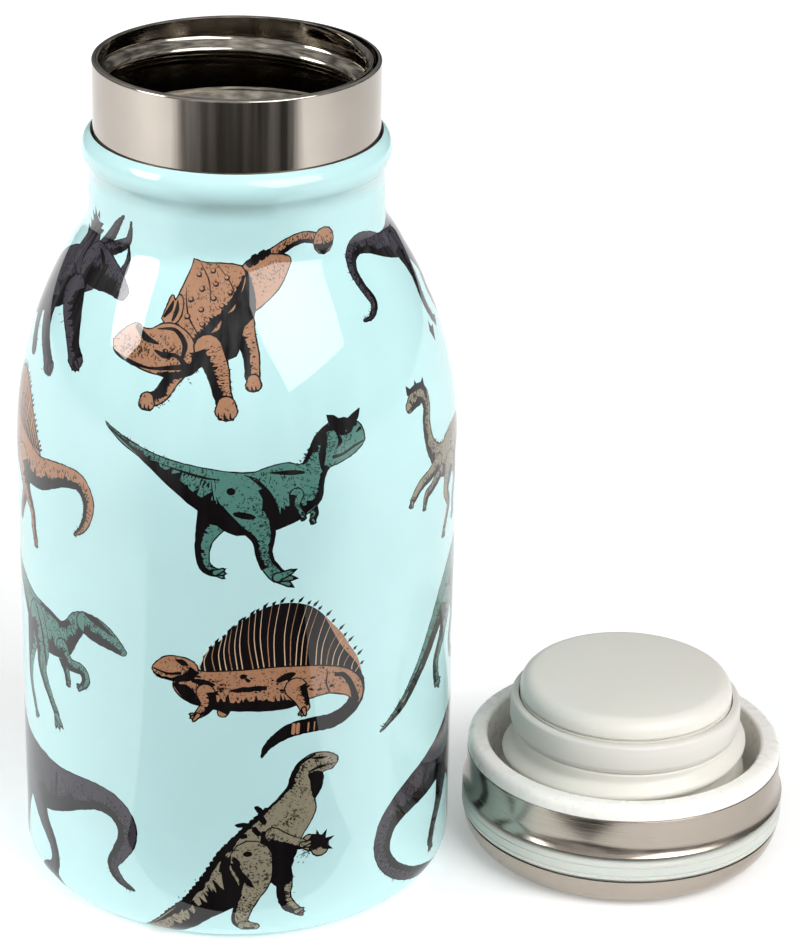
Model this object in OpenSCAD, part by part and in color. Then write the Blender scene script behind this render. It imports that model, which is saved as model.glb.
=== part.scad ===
// Small vacuum flask in the shape of a milk bottle, with its screw lid lying upside down beside it.
// Millimetres, +Z up. The origin is the centre of the flask's base, and the lid lies towards +X.

/* [Flask] */
// Outside diameter of the body
body_d = 70; // [66:1:76]
// Height of the mouth's rim above the base
mouth_z = 136.2; // [132:0.2:140]
// Radius of the rounded corner at the base
base_corner_r = 5.5; // [4:0.5:8]
// Height at which the shoulder starts to curve in
shoulder_z = 73.7; // [68:0.1:76]
// Radius of the shoulder's curve, seen from the side
shoulder_curve_r = 64; // [60:1:68]
// Outside radius of the painted neck
neck_r = 23; // [22.8:0.1:23.4]
// Outside radius of the rolled bead on the neck
bead_r = 23.95; // [23.6:0.05:24.4]
// Height of the bead's widest line
bead_z = 122.3; // [121.5:0.1:122.6]
// Thickness of the outer steel
shell_t = 0.5; // [0.4:0.05:0.55]

/* [Mouth] */
// Outside radius of the polished band
band_r = 22.15; // [22.1:0.01:22.2]
// Radius of the smooth entry above the thread
entry_r = 21.1; // [21:0.02:21.14]
// Radius at the crest of the rolled thread
crest_r = 19.6; // [19.4:0.05:19.8]
// Distance from one turn of the thread to the next
thread_pitch = 5.5; // [5:0.1:5.8]
// Radius of the throat that the gasket seals against
throat_r = 18.8; // [18.6:0.05:18.9]

/* [Inner flask] */
// Inside radius of the inner flask
inner_r = 30.3; // [29:0.1:30.5]
// Thickness of the inner steel
inner_t = 0.4; // [0.3:0.05:0.45]
// Height of the inner flask's floor, on its underside
inner_floor_z = 8.5; // [8:0.1:10]

/* [Lid] */
// Distance from the flask's axis to the lid's axis
lid_x = 64.2; // [63.5:0.1:70]
// Radius of the lid's steel band
lid_r = 26; // [25.9:0.05:26.2]
// Radius of the soft ring round the lid
grip_r = 26.7; // [26.6:0.05:26.9]
// Height of the lid's white rim above the surface it lies on
lid_rim_z = 19.1; // [19:0.1:19.6]
// Radius of the opening inside the rim, which passes over the polished band
skirt_r = 22.7; // [22.5:0.05:22.9]
// Radius at the crest of the stopper's thread
stopper_thread_r = 20.2; // [20:0.05:20.3]
// Height of the stopper's end face
stopper_end_z = 30.1; // [29.8:0.1:31]

/* [Hidden] */

$fn = 96;

PAINT = [0.74, 0.9, 0.91];
STEEL = [0.78, 0.76, 0.73];
FOIL = [0.85, 0.86, 0.87];
WHITE = [0.93, 0.93, 0.9];
AQUA = [0.78, 0.85, 0.84];

body_r = body_d / 2;

// The shoulder is one arc, and all three walls share its centre.
shoulder_c = body_r - shoulder_curve_r;
neck_fillet_r = 6;
throat_fillet_r = 4;

// The bead is an arc that stands out of the neck and turns in to meet the polished band.
bead_half_h = 2.3;
bead_out = bead_r - neck_r;
bead_arc_r = (bead_out * bead_out + bead_half_h * bead_half_h) / (2 * bead_out);
bead_c = bead_r - bead_arc_r;
bead_gap = 0.12;
bead_start_a = asin(bead_half_h / bead_arc_r);
bead_end_a = acos((band_r + bead_gap - bead_c) / (bead_arc_r - shell_t));

base_r = body_r - base_corner_r;

// Pressed and welded parts are drawn this far apart, and loose ones by the wider gap.
fit_gap = 0.05;
loose_gap = 0.1;

// The thread's turns and the step under them, measured down from the rim.
thread_r = entry_r - crest_r;
thread_drop = 3.7;
thread_turns = 2;
thread_top_z = mouth_z - thread_drop;
step_drop = 2.4;
step_z = thread_top_z - (thread_turns - 1) * thread_pitch - step_drop;
step_h = 1.4;
rim_round = 0.35;

// The polished band's tail, which the bead hides, measured down from the bead's widest line.
tail_end_drop = 5.3;
tail_top_drop = 0.8;
tail_step_h = 1.2;

// The outer bottom stands off the base, so that the seal bead has room under it.
outer_bottom_z = 2.2;
outer_bottom_top = 9;
seal_hole_r = 1;
cover_gap = 0.2;
cover_lip_h = 2.1;

inner_corner_r = 2.4;
inner_join_z = inner_floor_z + inner_corner_r;
foil_t = 0.1;

getter_x = 14;
getter_r = 4.2;
getter_h = 1.6;
getter_t = 0.3;

// Heights in the lid, measured up from the surface that it lies on.
dome_corner_r = 5.7;
dome_flat_r = 20.7;
dome_t = 0.4;
liner_t = 1.8;
lid_foam_r = 20.4;
lid_foam_top = 5.6;
ceiling_z = 5.8;
ceiling_t = 1.8;
grip_in_r = 24.5;
grip_z = 6;
grip_h = 3.5;
grip_round = 0.9;
lid_band_z = 12.4;
lid_band_top = 16.7;
lid_band_t = 0.4;
flare_r = 3.2;
flare_a = 39;

// Heights on the stopper.
stopper_core_r = 18.6;
stopper_seat_r = 17.5;
stopper_wall = 1.2;
stopper_floor_t = 1;
stopper_shoulder_z = 21.3;
stopper_disc_t = 3.5;
stopper_disc_z = stopper_end_z - stopper_disc_t;
stopper_turn_z = 18;
stopper_turn_r = 1.7;
gasket_r = 19.05;
gasket_gap = 0.2;
gasket_h = 5;
foam_gap = 0.2;

// Points along an arc, from angle a0 to angle a1.
function arc(x, y, r, a0, a1, steps = 12) =
    [for (i = [0 : steps]) let (a = a0 + (a1 - a0) * i / steps) [x + r * cos(a), y + r * sin(a)]];

// The same points from last to first.
function reversed(list) = [for (i = [len(list) - 1 : -1 : 0]) list[i]];

// A fillet of radius f joins a shoulder arc of radius r to a cylinder of radius to_r.
function fillet_z(r, f, to_r) =
    shoulder_z + sqrt(pow(r + f, 2) - pow(to_r + f - shoulder_c, 2));
function fillet_a(r, f, to_r) =
    atan2(fillet_z(r, f, to_r) - shoulder_z, to_r + f - shoulder_c);

// One face of a wall that goes round the shoulder and up into a neck, shrunk inwards by t.
// r is the shoulder arc's radius, f the fillet's and to_r the neck's, before shrinking.
function shoulder_face(r, f, to_r, t) = concat(
    arc(shoulder_c, shoulder_z, r - t, 0, fillet_a(r, f, to_r), 24),
    arc(to_r + f, fillet_z(r, f, to_r), f + t, 180 + fillet_a(r, f, to_r), 180, 8)
);

// One face of the painted shell, shrunk inwards by t.
function shell_face(t) = concat(
    arc(base_r, base_corner_r, base_corner_r - t, -90, 0, 10),
    shoulder_face(shoulder_curve_r, neck_fillet_r, neck_r, t),
    arc(bead_c, bead_z, bead_arc_r - t, -bead_start_a, bead_end_a, 16)
);

// One face of the inner flask's wall, from its join up to the rim, shrunk inwards by t.
// The thread is drawn as plain rings: each one is an arc that stands into the mouth.
function inner_face(t) = concat(
    [[inner_r + inner_t - t, inner_join_z]],
    shoulder_face(inner_r + inner_t - shoulder_c, throat_fillet_r, throat_r + inner_t, t),
    [[throat_r + inner_t - t, step_z - step_h], [entry_r + inner_t - t, step_z]],
    [for (i = [thread_turns - 1 : -1 : 0]) each thread_face(thread_top_z - i * thread_pitch, t)],
    [[entry_r + inner_t - t, mouth_z]]
);
function thread_face(z, t) =
    let (r = thread_r - inner_t + t, a = acos((inner_t - t) / r))
    arc(entry_r, z, r, 360 - a, a, 12);

module revolve(points) {
    rotate_extrude() polygon(points);
}

// A solid of revolution between an outer and an inner face, both listed from the bottom up.
module wall(outer, inner) {
    revolve(concat(outer, reversed(inner)));
}

module at_lid() {
    translate([lid_x, 0, 0]) children();
}

// --- Flask ---

// Painted steel shell: open at the base, with the rolled bead at its top edge.
module outer_shell() {
    color(PAINT) wall(shell_face(0), shell_face(shell_t));
}

// Polished band that stands in the bead and is welded to the inner wall at the rim.
module neck_band() {
    tail_r = neck_r - shell_t - fit_gap;
    tail_bottom = bead_z - tail_end_drop;
    tail_top = bead_z - tail_top_drop;
    tube_bottom = tail_top + tail_step_h;
    inside = entry_r + inner_t + fit_gap;
    tail_inside = tail_r - shell_t;
    color(STEEL) wall(
        concat(
            [[tail_r, tail_bottom], [tail_r, tail_top], [band_r, tube_bottom]],
            arc(band_r - rim_round, mouth_z - rim_round, rim_round, 0, 90, 5)
        ),
        [[tail_inside, tail_bottom], [tail_inside, tail_top], [inside, tube_bottom], [inside, mouth_z]]
    );
}

// Inner flask from its join up to the rim, with the thread rolled into its neck.
module inner_wall() {
    color(STEEL) wall(inner_face(0), inner_face(inner_t));
}

// Pressed cup that closes the inner flask.
module inner_bottom() {
    centre_r = inner_r + inner_t - inner_corner_r;
    color(STEEL) wall(
        concat([[0, inner_floor_z]], arc(centre_r, inner_join_z, inner_corner_r, -90, 0, 10)),
        concat([[0, inner_floor_z + inner_t]],
               arc(centre_r, inner_join_z, inner_corner_r - inner_t, -90, 0, 10))
    );
}

// Pressed cup that closes the vacuum space. Its hole in the middle is where the air was drawn out.
module outer_bottom() {
    r = base_corner_r - shell_t - fit_gap;
    in_r = r - shell_t;
    a = asin((base_corner_r - outer_bottom_z) / r);
    in_a = asin((base_corner_r - outer_bottom_z - shell_t) / in_r);
    color(STEEL) wall(
        concat([[seal_hole_r, outer_bottom_z]], arc(base_r, base_corner_r, r, -a, 0, 6),
               [[base_r + r, outer_bottom_top]]),
        concat([[seal_hole_r, outer_bottom_z + shell_t]], arc(base_r, base_corner_r, in_r, -in_a, 0, 6),
               [[base_r + in_r, outer_bottom_top]])
    );
}

// Flat steel cover under the base, with a lip that meets the outer bottom.
module base_cover() {
    r = base_r - cover_gap;
    color(STEEL) difference() {
        cylinder(h = cover_lip_h, r = r);
        translate([0, 0, shell_t]) cylinder(h = cover_lip_h, r = r - shell_t);
    }
}

// Foil round the inner flask, which sends radiant heat back.
module foil_wrap() {
    r = inner_r + inner_t + foil_t;
    color(FOIL) translate([0, 0, inner_join_z]) difference() {
        cylinder(h = shoulder_z - inner_join_z, r = r + foil_t);
        translate([0, 0, -1]) cylinder(h = shoulder_z, r = r);
    }
}

// Foil disc under the inner flask.
module foil_base() {
    color(FOIL) translate([0, 0, inner_floor_z - 2 * foil_t])
        cylinder(h = foil_t, r = inner_r - inner_corner_r);
}

module getter_cup() {
    color(STEEL) translate([getter_x, 0, outer_bottom_z + shell_t]) difference() {
        cylinder(h = getter_h, r = getter_r);
        translate([0, 0, getter_t]) cylinder(h = getter_h, r = getter_r - getter_t);
    }
}

// Pellet that soaks up stray gas in the vacuum space.
module getter_pellet() {
    color("dimgray") translate([getter_x, 0, outer_bottom_z + shell_t + getter_t])
        cylinder(h = getter_h - 2 * getter_t, r = getter_r - getter_t - loose_gap);
}

// Drop of solder that plugs the outer bottom's hole.
module seal_bead() {
    drop_r = 2.4;
    drop_h = 1;
    color("silver") revolve(concat(
        [[0, outer_bottom_z - drop_h]],
        [for (a = [15 : 15 : 90]) [drop_r * sin(a), outer_bottom_z - drop_h * cos(a)]],
        [[seal_hole_r, outer_bottom_z], [seal_hole_r, outer_bottom_z + shell_t],
         [0, outer_bottom_z + shell_t]]
    ));
}

// --- Lid, upside down ---

// Steel top of the lid, flat in the middle and rounded over at its edge.
module lid_dome() {
    color(STEEL) at_lid() wall(
        concat([[0, 0]], arc(dome_flat_r, dome_corner_r, dome_corner_r, -90, 0, 12)),
        concat([[0, dome_t]], arc(dome_flat_r, dome_corner_r, dome_corner_r - dome_t, -90, 0, 12))
    );
}

// Plastic ring that the steel top is pressed onto.
module dome_liner() {
    r = dome_corner_r - dome_t - fit_gap;
    color(WHITE) at_lid() revolve(concat(
        arc(dome_flat_r, dome_corner_r, r, -90, 0, 12),
        [[dome_flat_r + liner_t, dome_corner_r], [dome_flat_r, dome_t + liner_t]]
    ));
}

// Soft translucent ring between the lid's top and its band.
module grip_ring() {
    top = grip_z + grip_h;
    color(AQUA) at_lid() revolve(concat(
        [[grip_in_r, grip_z]],
        arc(grip_r - grip_round, grip_z + grip_round, grip_round, -90, 0, 5),
        arc(grip_r - grip_round, top - grip_round, grip_round, 0, 90, 5),
        [[grip_in_r, top]]
    ));
}

// Steel band round the skirt, flared out where it meets the soft ring.
module lid_band() {
    color(STEEL) at_lid() wall(
        concat(reversed(arc(lid_r + flare_r, lid_band_z, flare_r, 180, 180 + flare_a, 8)),
               [[lid_r, lid_band_top]]),
        concat(reversed(arc(lid_r + flare_r, lid_band_z, flare_r + lid_band_t, 180, 180 + flare_a, 8)),
               [[lid_r - lid_band_t, lid_band_top]])
    );
}

// White moulding: the ceiling, and the skirt that comes down over the polished band.
module inner_cap() {
    out_r = lid_r - lid_band_t - loose_gap;
    hub_r = grip_in_r - loose_gap;
    ledge_z = grip_z + grip_h + loose_gap;
    top_r = 1.6;
    in_round = 0.7;
    color(WHITE) at_lid() revolve(concat(
        [[0, ceiling_z], [hub_r, ceiling_z], [hub_r, ledge_z],
         [out_r, ledge_z], [out_r, lid_band_top + fit_gap], [lid_r - fit_gap, lid_band_top + fit_gap]],
        arc(lid_r - fit_gap - top_r, lid_rim_z - top_r, top_r, 0, 90, 8),
        arc(skirt_r + in_round, lid_rim_z - in_round, in_round, 90, 180, 6),
        [[skirt_r, ceiling_z + ceiling_t], [0, ceiling_z + ceiling_t]]
    ));
}

// Hollow white stopper. Its thread is drawn as plain rings.
module stopper_body() {
    floor_z = ceiling_z + ceiling_t;
    hollow_r = stopper_seat_r - stopper_wall;
    color(WHITE) at_lid() difference() {
        union() {
            translate([0, 0, floor_z]) cylinder(h = stopper_shoulder_z - floor_z, r = stopper_core_r);
            translate([0, 0, floor_z]) cylinder(h = stopper_disc_z - floor_z, r = stopper_seat_r);
            for (i = [0 : 1])
                translate([0, 0, stopper_turn_z - i * thread_pitch]) stopper_turn();
        }
        translate([0, 0, floor_z + stopper_floor_t])
            cylinder(h = stopper_end_z, r = hollow_r);
    }
}

// One turn of the stopper's thread, as a ring round a height of 0.
module stopper_turn() {
    revolve(concat([[stopper_seat_r, -stopper_turn_r]],
                   arc(stopper_thread_r - stopper_turn_r, 0, stopper_turn_r, -90, 90, 10),
                   [[stopper_seat_r, stopper_turn_r]]));
}

// Round end of the stopper, which holds the gasket on.
module stopper_disc() {
    edge = 1.5;
    foot = 0.5;
    color(WHITE) at_lid() revolve(concat(
        [[0, stopper_disc_z], [stopper_seat_r - foot, stopper_disc_z],
         [stopper_seat_r, stopper_disc_z + foot]],
        arc(stopper_seat_r - edge, stopper_end_z - edge, edge, 0, 90, 8),
        [[0, stopper_end_z]]
    ));
}

// Insulation inside the stopper.
module stopper_foam() {
    bottom = ceiling_z + ceiling_t + stopper_floor_t + loose_gap;
    color("ivory") at_lid() translate([0, 0, bottom])
        cylinder(h = stopper_disc_z - loose_gap - bottom, r = stopper_seat_r - stopper_wall - foam_gap);
}

// Silicone sleeve that seals in the throat. It pulls off over the end disc.
module stopper_gasket() {
    in_r = stopper_seat_r + gasket_gap;
    bottom = stopper_shoulder_z + gasket_gap / 2;
    top = bottom + gasket_h;
    lip = 0.7;
    foot = 0.35;
    foot_h = 1;
    color(WHITE) at_lid() revolve(concat(
        [[in_r, bottom], [gasket_r - foot, bottom], [gasket_r, bottom + foot_h]],
        arc(gasket_r - lip, top - lip, lip, 0, 90, 6),
        [[in_r, top]]
    ));
}

// Loose foam pad between the steel top and the ceiling.
module lid_foam() {
    bottom = dome_t + loose_gap;
    color("ivory") at_lid() translate([0, 0, bottom])
        cylinder(h = lid_foam_top - bottom, r = lid_foam_r);
}

outer_shell();
neck_band();
inner_wall();
inner_bottom();
outer_bottom();
base_cover();
foil_wrap();
foil_base();
getter_cup();
getter_pellet();
seal_bead();
lid_dome();
dome_liner();
grip_ring();
lid_band();
inner_cap();
stopper_body();
stopper_disc();
stopper_foam();
stopper_gasket();
lid_foam();
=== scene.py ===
"""Looks for a small vacuum flask with a dinosaur print, and for the screw lid that lies beside it."""

import math
import random
import bmesh
import bpy
import numpy as np
from mathutils import Matrix, Vector
from mathutils.geometry import delaunay_2d_cdt

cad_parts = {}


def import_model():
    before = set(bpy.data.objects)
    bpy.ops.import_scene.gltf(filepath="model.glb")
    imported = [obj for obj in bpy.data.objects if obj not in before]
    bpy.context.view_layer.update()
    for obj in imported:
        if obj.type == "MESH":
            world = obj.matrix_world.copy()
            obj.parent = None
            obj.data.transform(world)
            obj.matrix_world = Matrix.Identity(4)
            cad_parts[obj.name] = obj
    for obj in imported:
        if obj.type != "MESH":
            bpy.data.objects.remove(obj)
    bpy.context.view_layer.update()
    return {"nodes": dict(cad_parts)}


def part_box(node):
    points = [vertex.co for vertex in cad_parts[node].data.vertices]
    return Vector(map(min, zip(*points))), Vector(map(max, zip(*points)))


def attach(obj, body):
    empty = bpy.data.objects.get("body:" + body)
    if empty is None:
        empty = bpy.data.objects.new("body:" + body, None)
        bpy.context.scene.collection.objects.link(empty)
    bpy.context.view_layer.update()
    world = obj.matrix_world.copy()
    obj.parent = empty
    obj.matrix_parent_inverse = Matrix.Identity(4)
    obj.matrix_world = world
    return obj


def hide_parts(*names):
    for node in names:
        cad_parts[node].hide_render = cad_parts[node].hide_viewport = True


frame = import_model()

MM = 0.001


def centre_x(node):
    """Where a round CAD node's axis stands along X, in millimetres."""
    low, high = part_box(node)
    return (low.x + high.x) / 2 / MM


# Sizes in millimetres, shared with the CAD source.
LID_X = centre_x("stopper_disc")
MOUTH_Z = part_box("neck_band")[1].z / MM
BODY_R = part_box("outer_shell")[1].y / MM
BASE_CORNER = 5.5
SHOULDER_Z = 73.7
SHOULDER_R = 64.0
NECK_R = 23.0
NECK_FILLET = 6.0
BEAD_R = 23.95
BEAD_Z = 122.3
BEAD_HALF = 2.3
SHELL_T = 0.5
BAND_R = 22.15
ENTRY_R = 21.1
THROAT_R = 18.8
INNER_R = 30.3
INNER_T = 0.4
FLOOR_Z = 8.5
FLOOR_CORNER = 2.4
THREAD_PITCH = 5.5
THREAD_TOP = MOUTH_Z - 3.7
STEP_Z = THREAD_TOP - THREAD_PITCH - 2.4

SEGMENTS = 180
ARC_STEP = math.radians(7)


# --- Outlines ---

def arc(x, y, radius, start, end, step=ARC_STEP):
    """Points along an arc, in order. The angles are in degrees."""
    a0, a1 = math.radians(start), math.radians(end)
    count = max(2, math.ceil(abs(a1 - a0) / step))
    angles = [a0 + (a1 - a0) * i / count for i in range(count + 1)]
    return [(x + radius * math.cos(a), y + radius * math.sin(a)) for a in angles]


def rounded(corners):
    """A closed outline. (x, y) is a sharp corner, and (x, y, radius) is rounded."""
    points = []
    for i, corner in enumerate(corners):
        here = Vector(corner[:2])
        if len(corner) == 2:
            points.append(tuple(here))
            continue
        radius = corner[2]
        back = (Vector(corners[i - 1][:2]) - here).normalized()
        ahead = (Vector(corners[(i + 1) % len(corners)][:2]) - here).normalized()
        half = back.angle(ahead) / 2
        middle = here + (back + ahead).normalized() * radius / math.sin(half)
        reach = radius / math.tan(half)
        start = here + back * reach - middle
        end = here + ahead * reach - middle
        a0 = math.degrees(math.atan2(start.y, start.x))
        a1 = math.degrees(math.atan2(end.y, end.x))
        a1 = a0 + (a1 - a0 + 180) % 360 - 180
        points += arc(middle.x, middle.y, radius, a0, a1, 2 * ARC_STEP)
    return points


def fillet(shoulder_r, radius, to_r):
    """Height and angle at which a fillet joins a shoulder arc to a neck of radius to_r."""
    reach = to_r + radius - (BODY_R - SHOULDER_R)
    rise = math.sqrt((shoulder_r + radius) ** 2 - reach**2)
    return SHOULDER_Z + rise, math.degrees(math.atan2(rise, reach))


def shoulder(shoulder_r, radius, to_r, inset):
    """The shoulder arc and the fillet above it, moved inwards by inset."""
    height, angle = fillet(shoulder_r, radius, to_r)
    curve = arc(BODY_R - SHOULDER_R, SHOULDER_Z, shoulder_r - inset, 0, angle, ARC_STEP / 4)
    return curve + arc(to_r + radius, height, radius + inset, 180 + angle, 180)


def bead(inset):
    """The rolled bead on the neck, up to where it turns in to the polished band."""
    out = BEAD_R - NECK_R
    radius = (out**2 + BEAD_HALF**2) / (2 * out)
    middle = BEAD_R - radius
    start = -math.degrees(math.asin(BEAD_HALF / radius))
    end = math.degrees(math.acos((BAND_R + 0.12 - middle) / (radius - SHELL_T)))
    return arc(middle, BEAD_Z, radius - inset, start, end)


# --- Meshes ---

def new_object(name, mesh, centre=0.0):
    """Puts a mesh in the scene, with its origin on the axis at X = centre millimetres."""
    piece = bpy.data.objects.new(name, mesh)
    piece.location.x = centre * MM
    bpy.context.scene.collection.objects.link(piece)
    return piece


def revolve(name, outline, centre=0.0, shape=None, segments=SEGMENTS, crease=32):
    """Turns a closed outline of (radius, height) points about the Z axis.
    shape(radius, height, angle) may give each point a new radius."""
    bm = bmesh.new()
    rings = []
    for radius, height in outline:
        if radius < 1e-6:
            rings.append([bm.verts.new((0, 0, height * MM))])
            continue
        ring = []
        for i in range(segments):
            angle = math.tau * i / segments
            r = shape(radius, height, angle) if shape else radius
            ring.append(bm.verts.new((r * MM * math.cos(angle), r * MM * math.sin(angle), height * MM)))
        rings.append(ring)
    for k, ring in enumerate(rings):
        join_rings(bm, ring, rings[(k + 1) % len(rings)], segments)
    bmesh.ops.recalc_face_normals(bm, faces=bm.faces)
    mesh = bpy.data.meshes.new(name)
    bm.to_mesh(mesh)
    bm.free()
    mesh.shade_smooth()
    mesh.set_sharp_from_angle(angle=math.radians(crease))
    return new_object(name, mesh, centre)


def join_rings(bm, low, high, segments):
    """Fills the band between two rings. A ring may be a single point on the axis."""
    if len(low) == 1 and len(high) == 1:
        return
    for i in range(segments):
        j = (i + 1) % segments
        corners = [low[i % len(low)], low[j % len(low)], high[j % len(high)], high[i % len(high)]]
        kept = [c for n, c in enumerate(corners) if c not in corners[:n]]
        bm.faces.new(kept)


def place(piece, body, slot, material, *nodes):
    """Gives a piece its material and its body, and hides the CAD nodes that it stands for. The slot is not
    used.
    """
    if not piece.data.materials:
        piece.data.materials.append(material)
    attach(piece, body)
    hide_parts(*nodes)
    return piece


# --- Materials ---

def srgb(red, green, blue):
    """A colour as eight-bit sRGB values, turned into linear light."""
    shares = [c / 255 for c in (red, green, blue)]
    linear = [c / 12.92 if c <= 10 / 255 else ((c + 0.055) / 1.055) ** 2.4 for c in shares]
    return (*linear, 1.0)


def scaled(colour, factor):
    """A colour made lighter or darker."""
    return tuple(min(1.0, c * factor) for c in colour[:3]) + (1.0,)


def shader_node(nodes, kind, operation=None, **inputs):
    """A new node. Its inputs are given by name, with _ for a space."""
    node = nodes.new("ShaderNode" + kind)
    if operation:
        node.operation = operation
    for name, value in inputs.items():
        node.inputs[name.replace("_", " ")].default_value = value
    return node


class Surface:
    """A Principled material whose colour, roughness and relief vary gently over the surface."""

    def __init__(self, name, **sockets):
        self.material = bpy.data.materials.new(name)
        self.material.use_nodes = True
        self.nodes = self.material.node_tree.nodes
        self.links = self.material.node_tree.links
        self.shader = self.nodes["Principled BSDF"]
        self.coords = shader_node(self.nodes, "TexCoord").outputs["Object"]
        for socket, value in sockets.items():
            self.shader.inputs[socket.replace("_", " ")].default_value = value

    def noise(self, scale, detail=3.0, stretch=(1, 1, 1)):
        """A noise pattern, drawn out along the axes with the smallest stretch."""
        mapping = shader_node(self.nodes, "Mapping", Scale=stretch)
        texture = shader_node(self.nodes, "TexNoise", Scale=scale, Detail=detail)
        self.links.new(self.coords, mapping.inputs["Vector"])
        self.links.new(mapping.outputs["Vector"], texture.inputs["Vector"])
        return texture.outputs["Fac"]

    def mixed(self, first, second, share):
        """Two patterns in one. share is the second one's part."""
        mix = shader_node(self.nodes, "Mix", Factor=share)
        self.links.new(first, mix.inputs["A"])
        self.links.new(second, mix.inputs["B"])
        return mix.outputs["Result"]

    def colour(self, base, spread, fac, specks=0.0):
        """Base Color runs from a darker to a lighter tone of base. Above 0, specks adds nearly black
        ones where the pattern is at its lowest."""
        ramp = shader_node(self.nodes, "ValToRGB")
        ramp.color_ramp.elements[0].position = 0.3 + specks
        ramp.color_ramp.elements[1].position = 0.7
        ramp.color_ramp.elements[0].color = scaled(base, 1 - spread)
        ramp.color_ramp.elements[1].color = scaled(base, 1 + spread)
        if specks:
            dark = ramp.color_ramp.elements.new(0.27 + specks)
            dark.color = scaled(base, 0.15)
        self.links.new(fac, ramp.inputs["Fac"])
        self.links.new(ramp.outputs["Color"], self.shader.inputs["Base Color"])

    def roughness(self, low, high, fac):
        """Roughness runs from low to high with the pattern."""
        span = shader_node(self.nodes, "MapRange", From_Min=0.3, From_Max=0.7, To_Min=low, To_Max=high)
        self.links.new(fac, span.inputs["Value"])
        self.links.new(span.outputs["Result"], self.shader.inputs["Roughness"])

    def relief(self, depth, fac, strength=0.5):
        """Bumps that are depth millimetres deep."""
        bump = shader_node(self.nodes, "Bump", Distance=depth * MM, Strength=strength)
        self.links.new(fac, bump.inputs["Height"])
        self.links.new(bump.outputs["Normal"], self.shader.inputs["Normal"])


def clear_coated(name):
    """The start of a gloss paint or a printed ink: all of its shine is in a clear coat."""
    return Surface(name, Coat_Weight=1.0, Coat_Roughness=0.03, Coat_IOR=1.55, Specular_IOR_Level=0.0)


def paint(name, colour):
    """Smooth gloss paint."""
    surface = clear_coated(name)
    surface.colour(colour, 0.02, surface.noise(90))
    surface.roughness(0.3, 0.4, surface.noise(260))
    surface.relief(0.02, surface.noise(60, 2), 0.2)
    return surface.material


def ink(name, colour, specks=0.0):
    """Printed ink. Fine dark specks, closer together in some places, take up a share of it."""
    surface = clear_coated(name)
    grain = surface.mixed(surface.noise(2400, 2), surface.noise(300, 2), 0.35)
    surface.colour(colour, 0.08, grain, specks)
    surface.roughness(0.35, 0.45, surface.noise(260))
    surface.relief(0.02, surface.noise(60, 2), 0.2)
    return surface.material


def steel(name, colour, low, high, stretch=(1, 1, 1), depth=0.02, strength=0.2):
    """Steel with fine marks drawn out along the axes with the smallest stretch."""
    surface = Surface(name, Metallic=1.0)
    grain = surface.noise(700, 4, stretch)
    surface.colour(colour, 0.04, surface.noise(120))
    surface.roughness(low, high, grain)
    surface.relief(depth, grain, strength)
    return surface.material


def plastic(name, colour, low, high, depth=0.03, **sockets):
    """Moulded plastic, rubber or foam with a fine even texture."""
    surface = Surface(name, **sockets)
    surface.colour(colour, 0.008, surface.noise(110))
    surface.roughness(low, high, surface.noise(400))
    surface.relief(depth, surface.noise(1500, 2), 0.12)
    return surface.material


PAINT = paint("aqua_paint", srgb(191, 229, 230))
INKS = {
    "ink": ink("black_ink", srgb(16, 13, 15)),
    "brown": ink("brown_ink", srgb(168, 124, 95), 0.1),
    "teal": ink("teal_ink", srgb(82, 129, 119), 0.1),
    "olive": ink("olive_ink", srgb(140, 133, 113), 0.12),
    "charcoal": ink("charcoal_ink", srgb(62, 58, 67), 0.11),
    "cream": ink("cream_ink", srgb(208, 176, 146)),
}
POLISHED = steel("polished_steel", srgb(176, 168, 159), 0.05, 0.14, (1, 1, 0.05), 0.03, 0.4)
# Inner flask steel: its own rolled finish, with its colour darkened as painted shade of the deep interior.
ROLLED_WITH_PAINTED_SHADE = steel("rolled_steel", srgb(158, 151, 140), 0.07, 0.14, (1, 1, 6))
HIDDEN = steel("hidden_steel", srgb(196, 192, 186), 0.3, 0.4)
LID_STEEL = steel("turned_steel", srgb(170, 160, 149), 0.16, 0.28, (0.15, 0.15, 6), 0.03, 0.3)
FOIL = steel("bright_foil", srgb(228, 228, 230), 0.2, 0.35, (1, 1, 1), 0.2, 0.6)
GETTER = plastic("pressed_powder", srgb(70, 70, 70), 0.8, 0.95, 0.1)
SOLDER = steel("solder", srgb(190, 190, 192), 0.3, 0.4, (1, 1, 1), 0.05, 0.5)
WHITE = plastic("white_plastic", srgb(240, 238, 232), 0.24, 0.32, Subsurface_Weight=0.1,
                Subsurface_Scale=0.001)
INNER_WHITE = plastic("inner_plastic", srgb(236, 235, 230), 0.5, 0.6)
STOPPER_WHITE = plastic(
    "stopper_plastic", srgb(229, 226, 217), 0.3, 0.4, Subsurface_Weight=0.1, Subsurface_Scale=0.001
)
SILICONE = plastic("white_silicone", srgb(219, 216, 209), 0.42, 0.52, 0.05)
PALE_SILICONE = plastic(
    "pale_silicone", srgb(200, 204, 197), 0.35, 0.45, 0.05, Subsurface_Weight=0.3, Subsurface_Scale=0.002
)
FOAM = plastic("foam", srgb(238, 234, 224), 0.85, 0.95, 0.3)


# --- Print ---
# Each creature is drawn in millimetres about its own middle, and x runs along the bottle's girth.

LINE = 0.22
THINNEST = 0.03
PRINT_MARGIN = 0.3
GIRTH_STEPS = 120


def smooth(points, steps=6):
    """A Catmull-Rom curve through rows of numbers."""
    rows = np.array([points[0], *points, points[-1]], float)
    out = []
    for a, b, c, d in zip(rows, rows[1:], rows[2:], rows[3:]):
        square = 2 * a - 5 * b + 4 * c - d
        cube = 3 * b - a - 3 * c + d
        for t in np.arange(steps) / steps:
            out.append(0.5 * (2 * b + (c - a) * t + square * t**2 + cube * t**3))
    return np.array(out + [rows[-1]])


def across(spine):
    """Unit vectors to the left of a line of points."""
    run = np.gradient(spine[:, :2], axis=0)
    run /= np.linalg.norm(run, axis=1)[:, None] + 1e-9
    return np.stack([-run[:, 1], run[:, 0]], 1)


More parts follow.
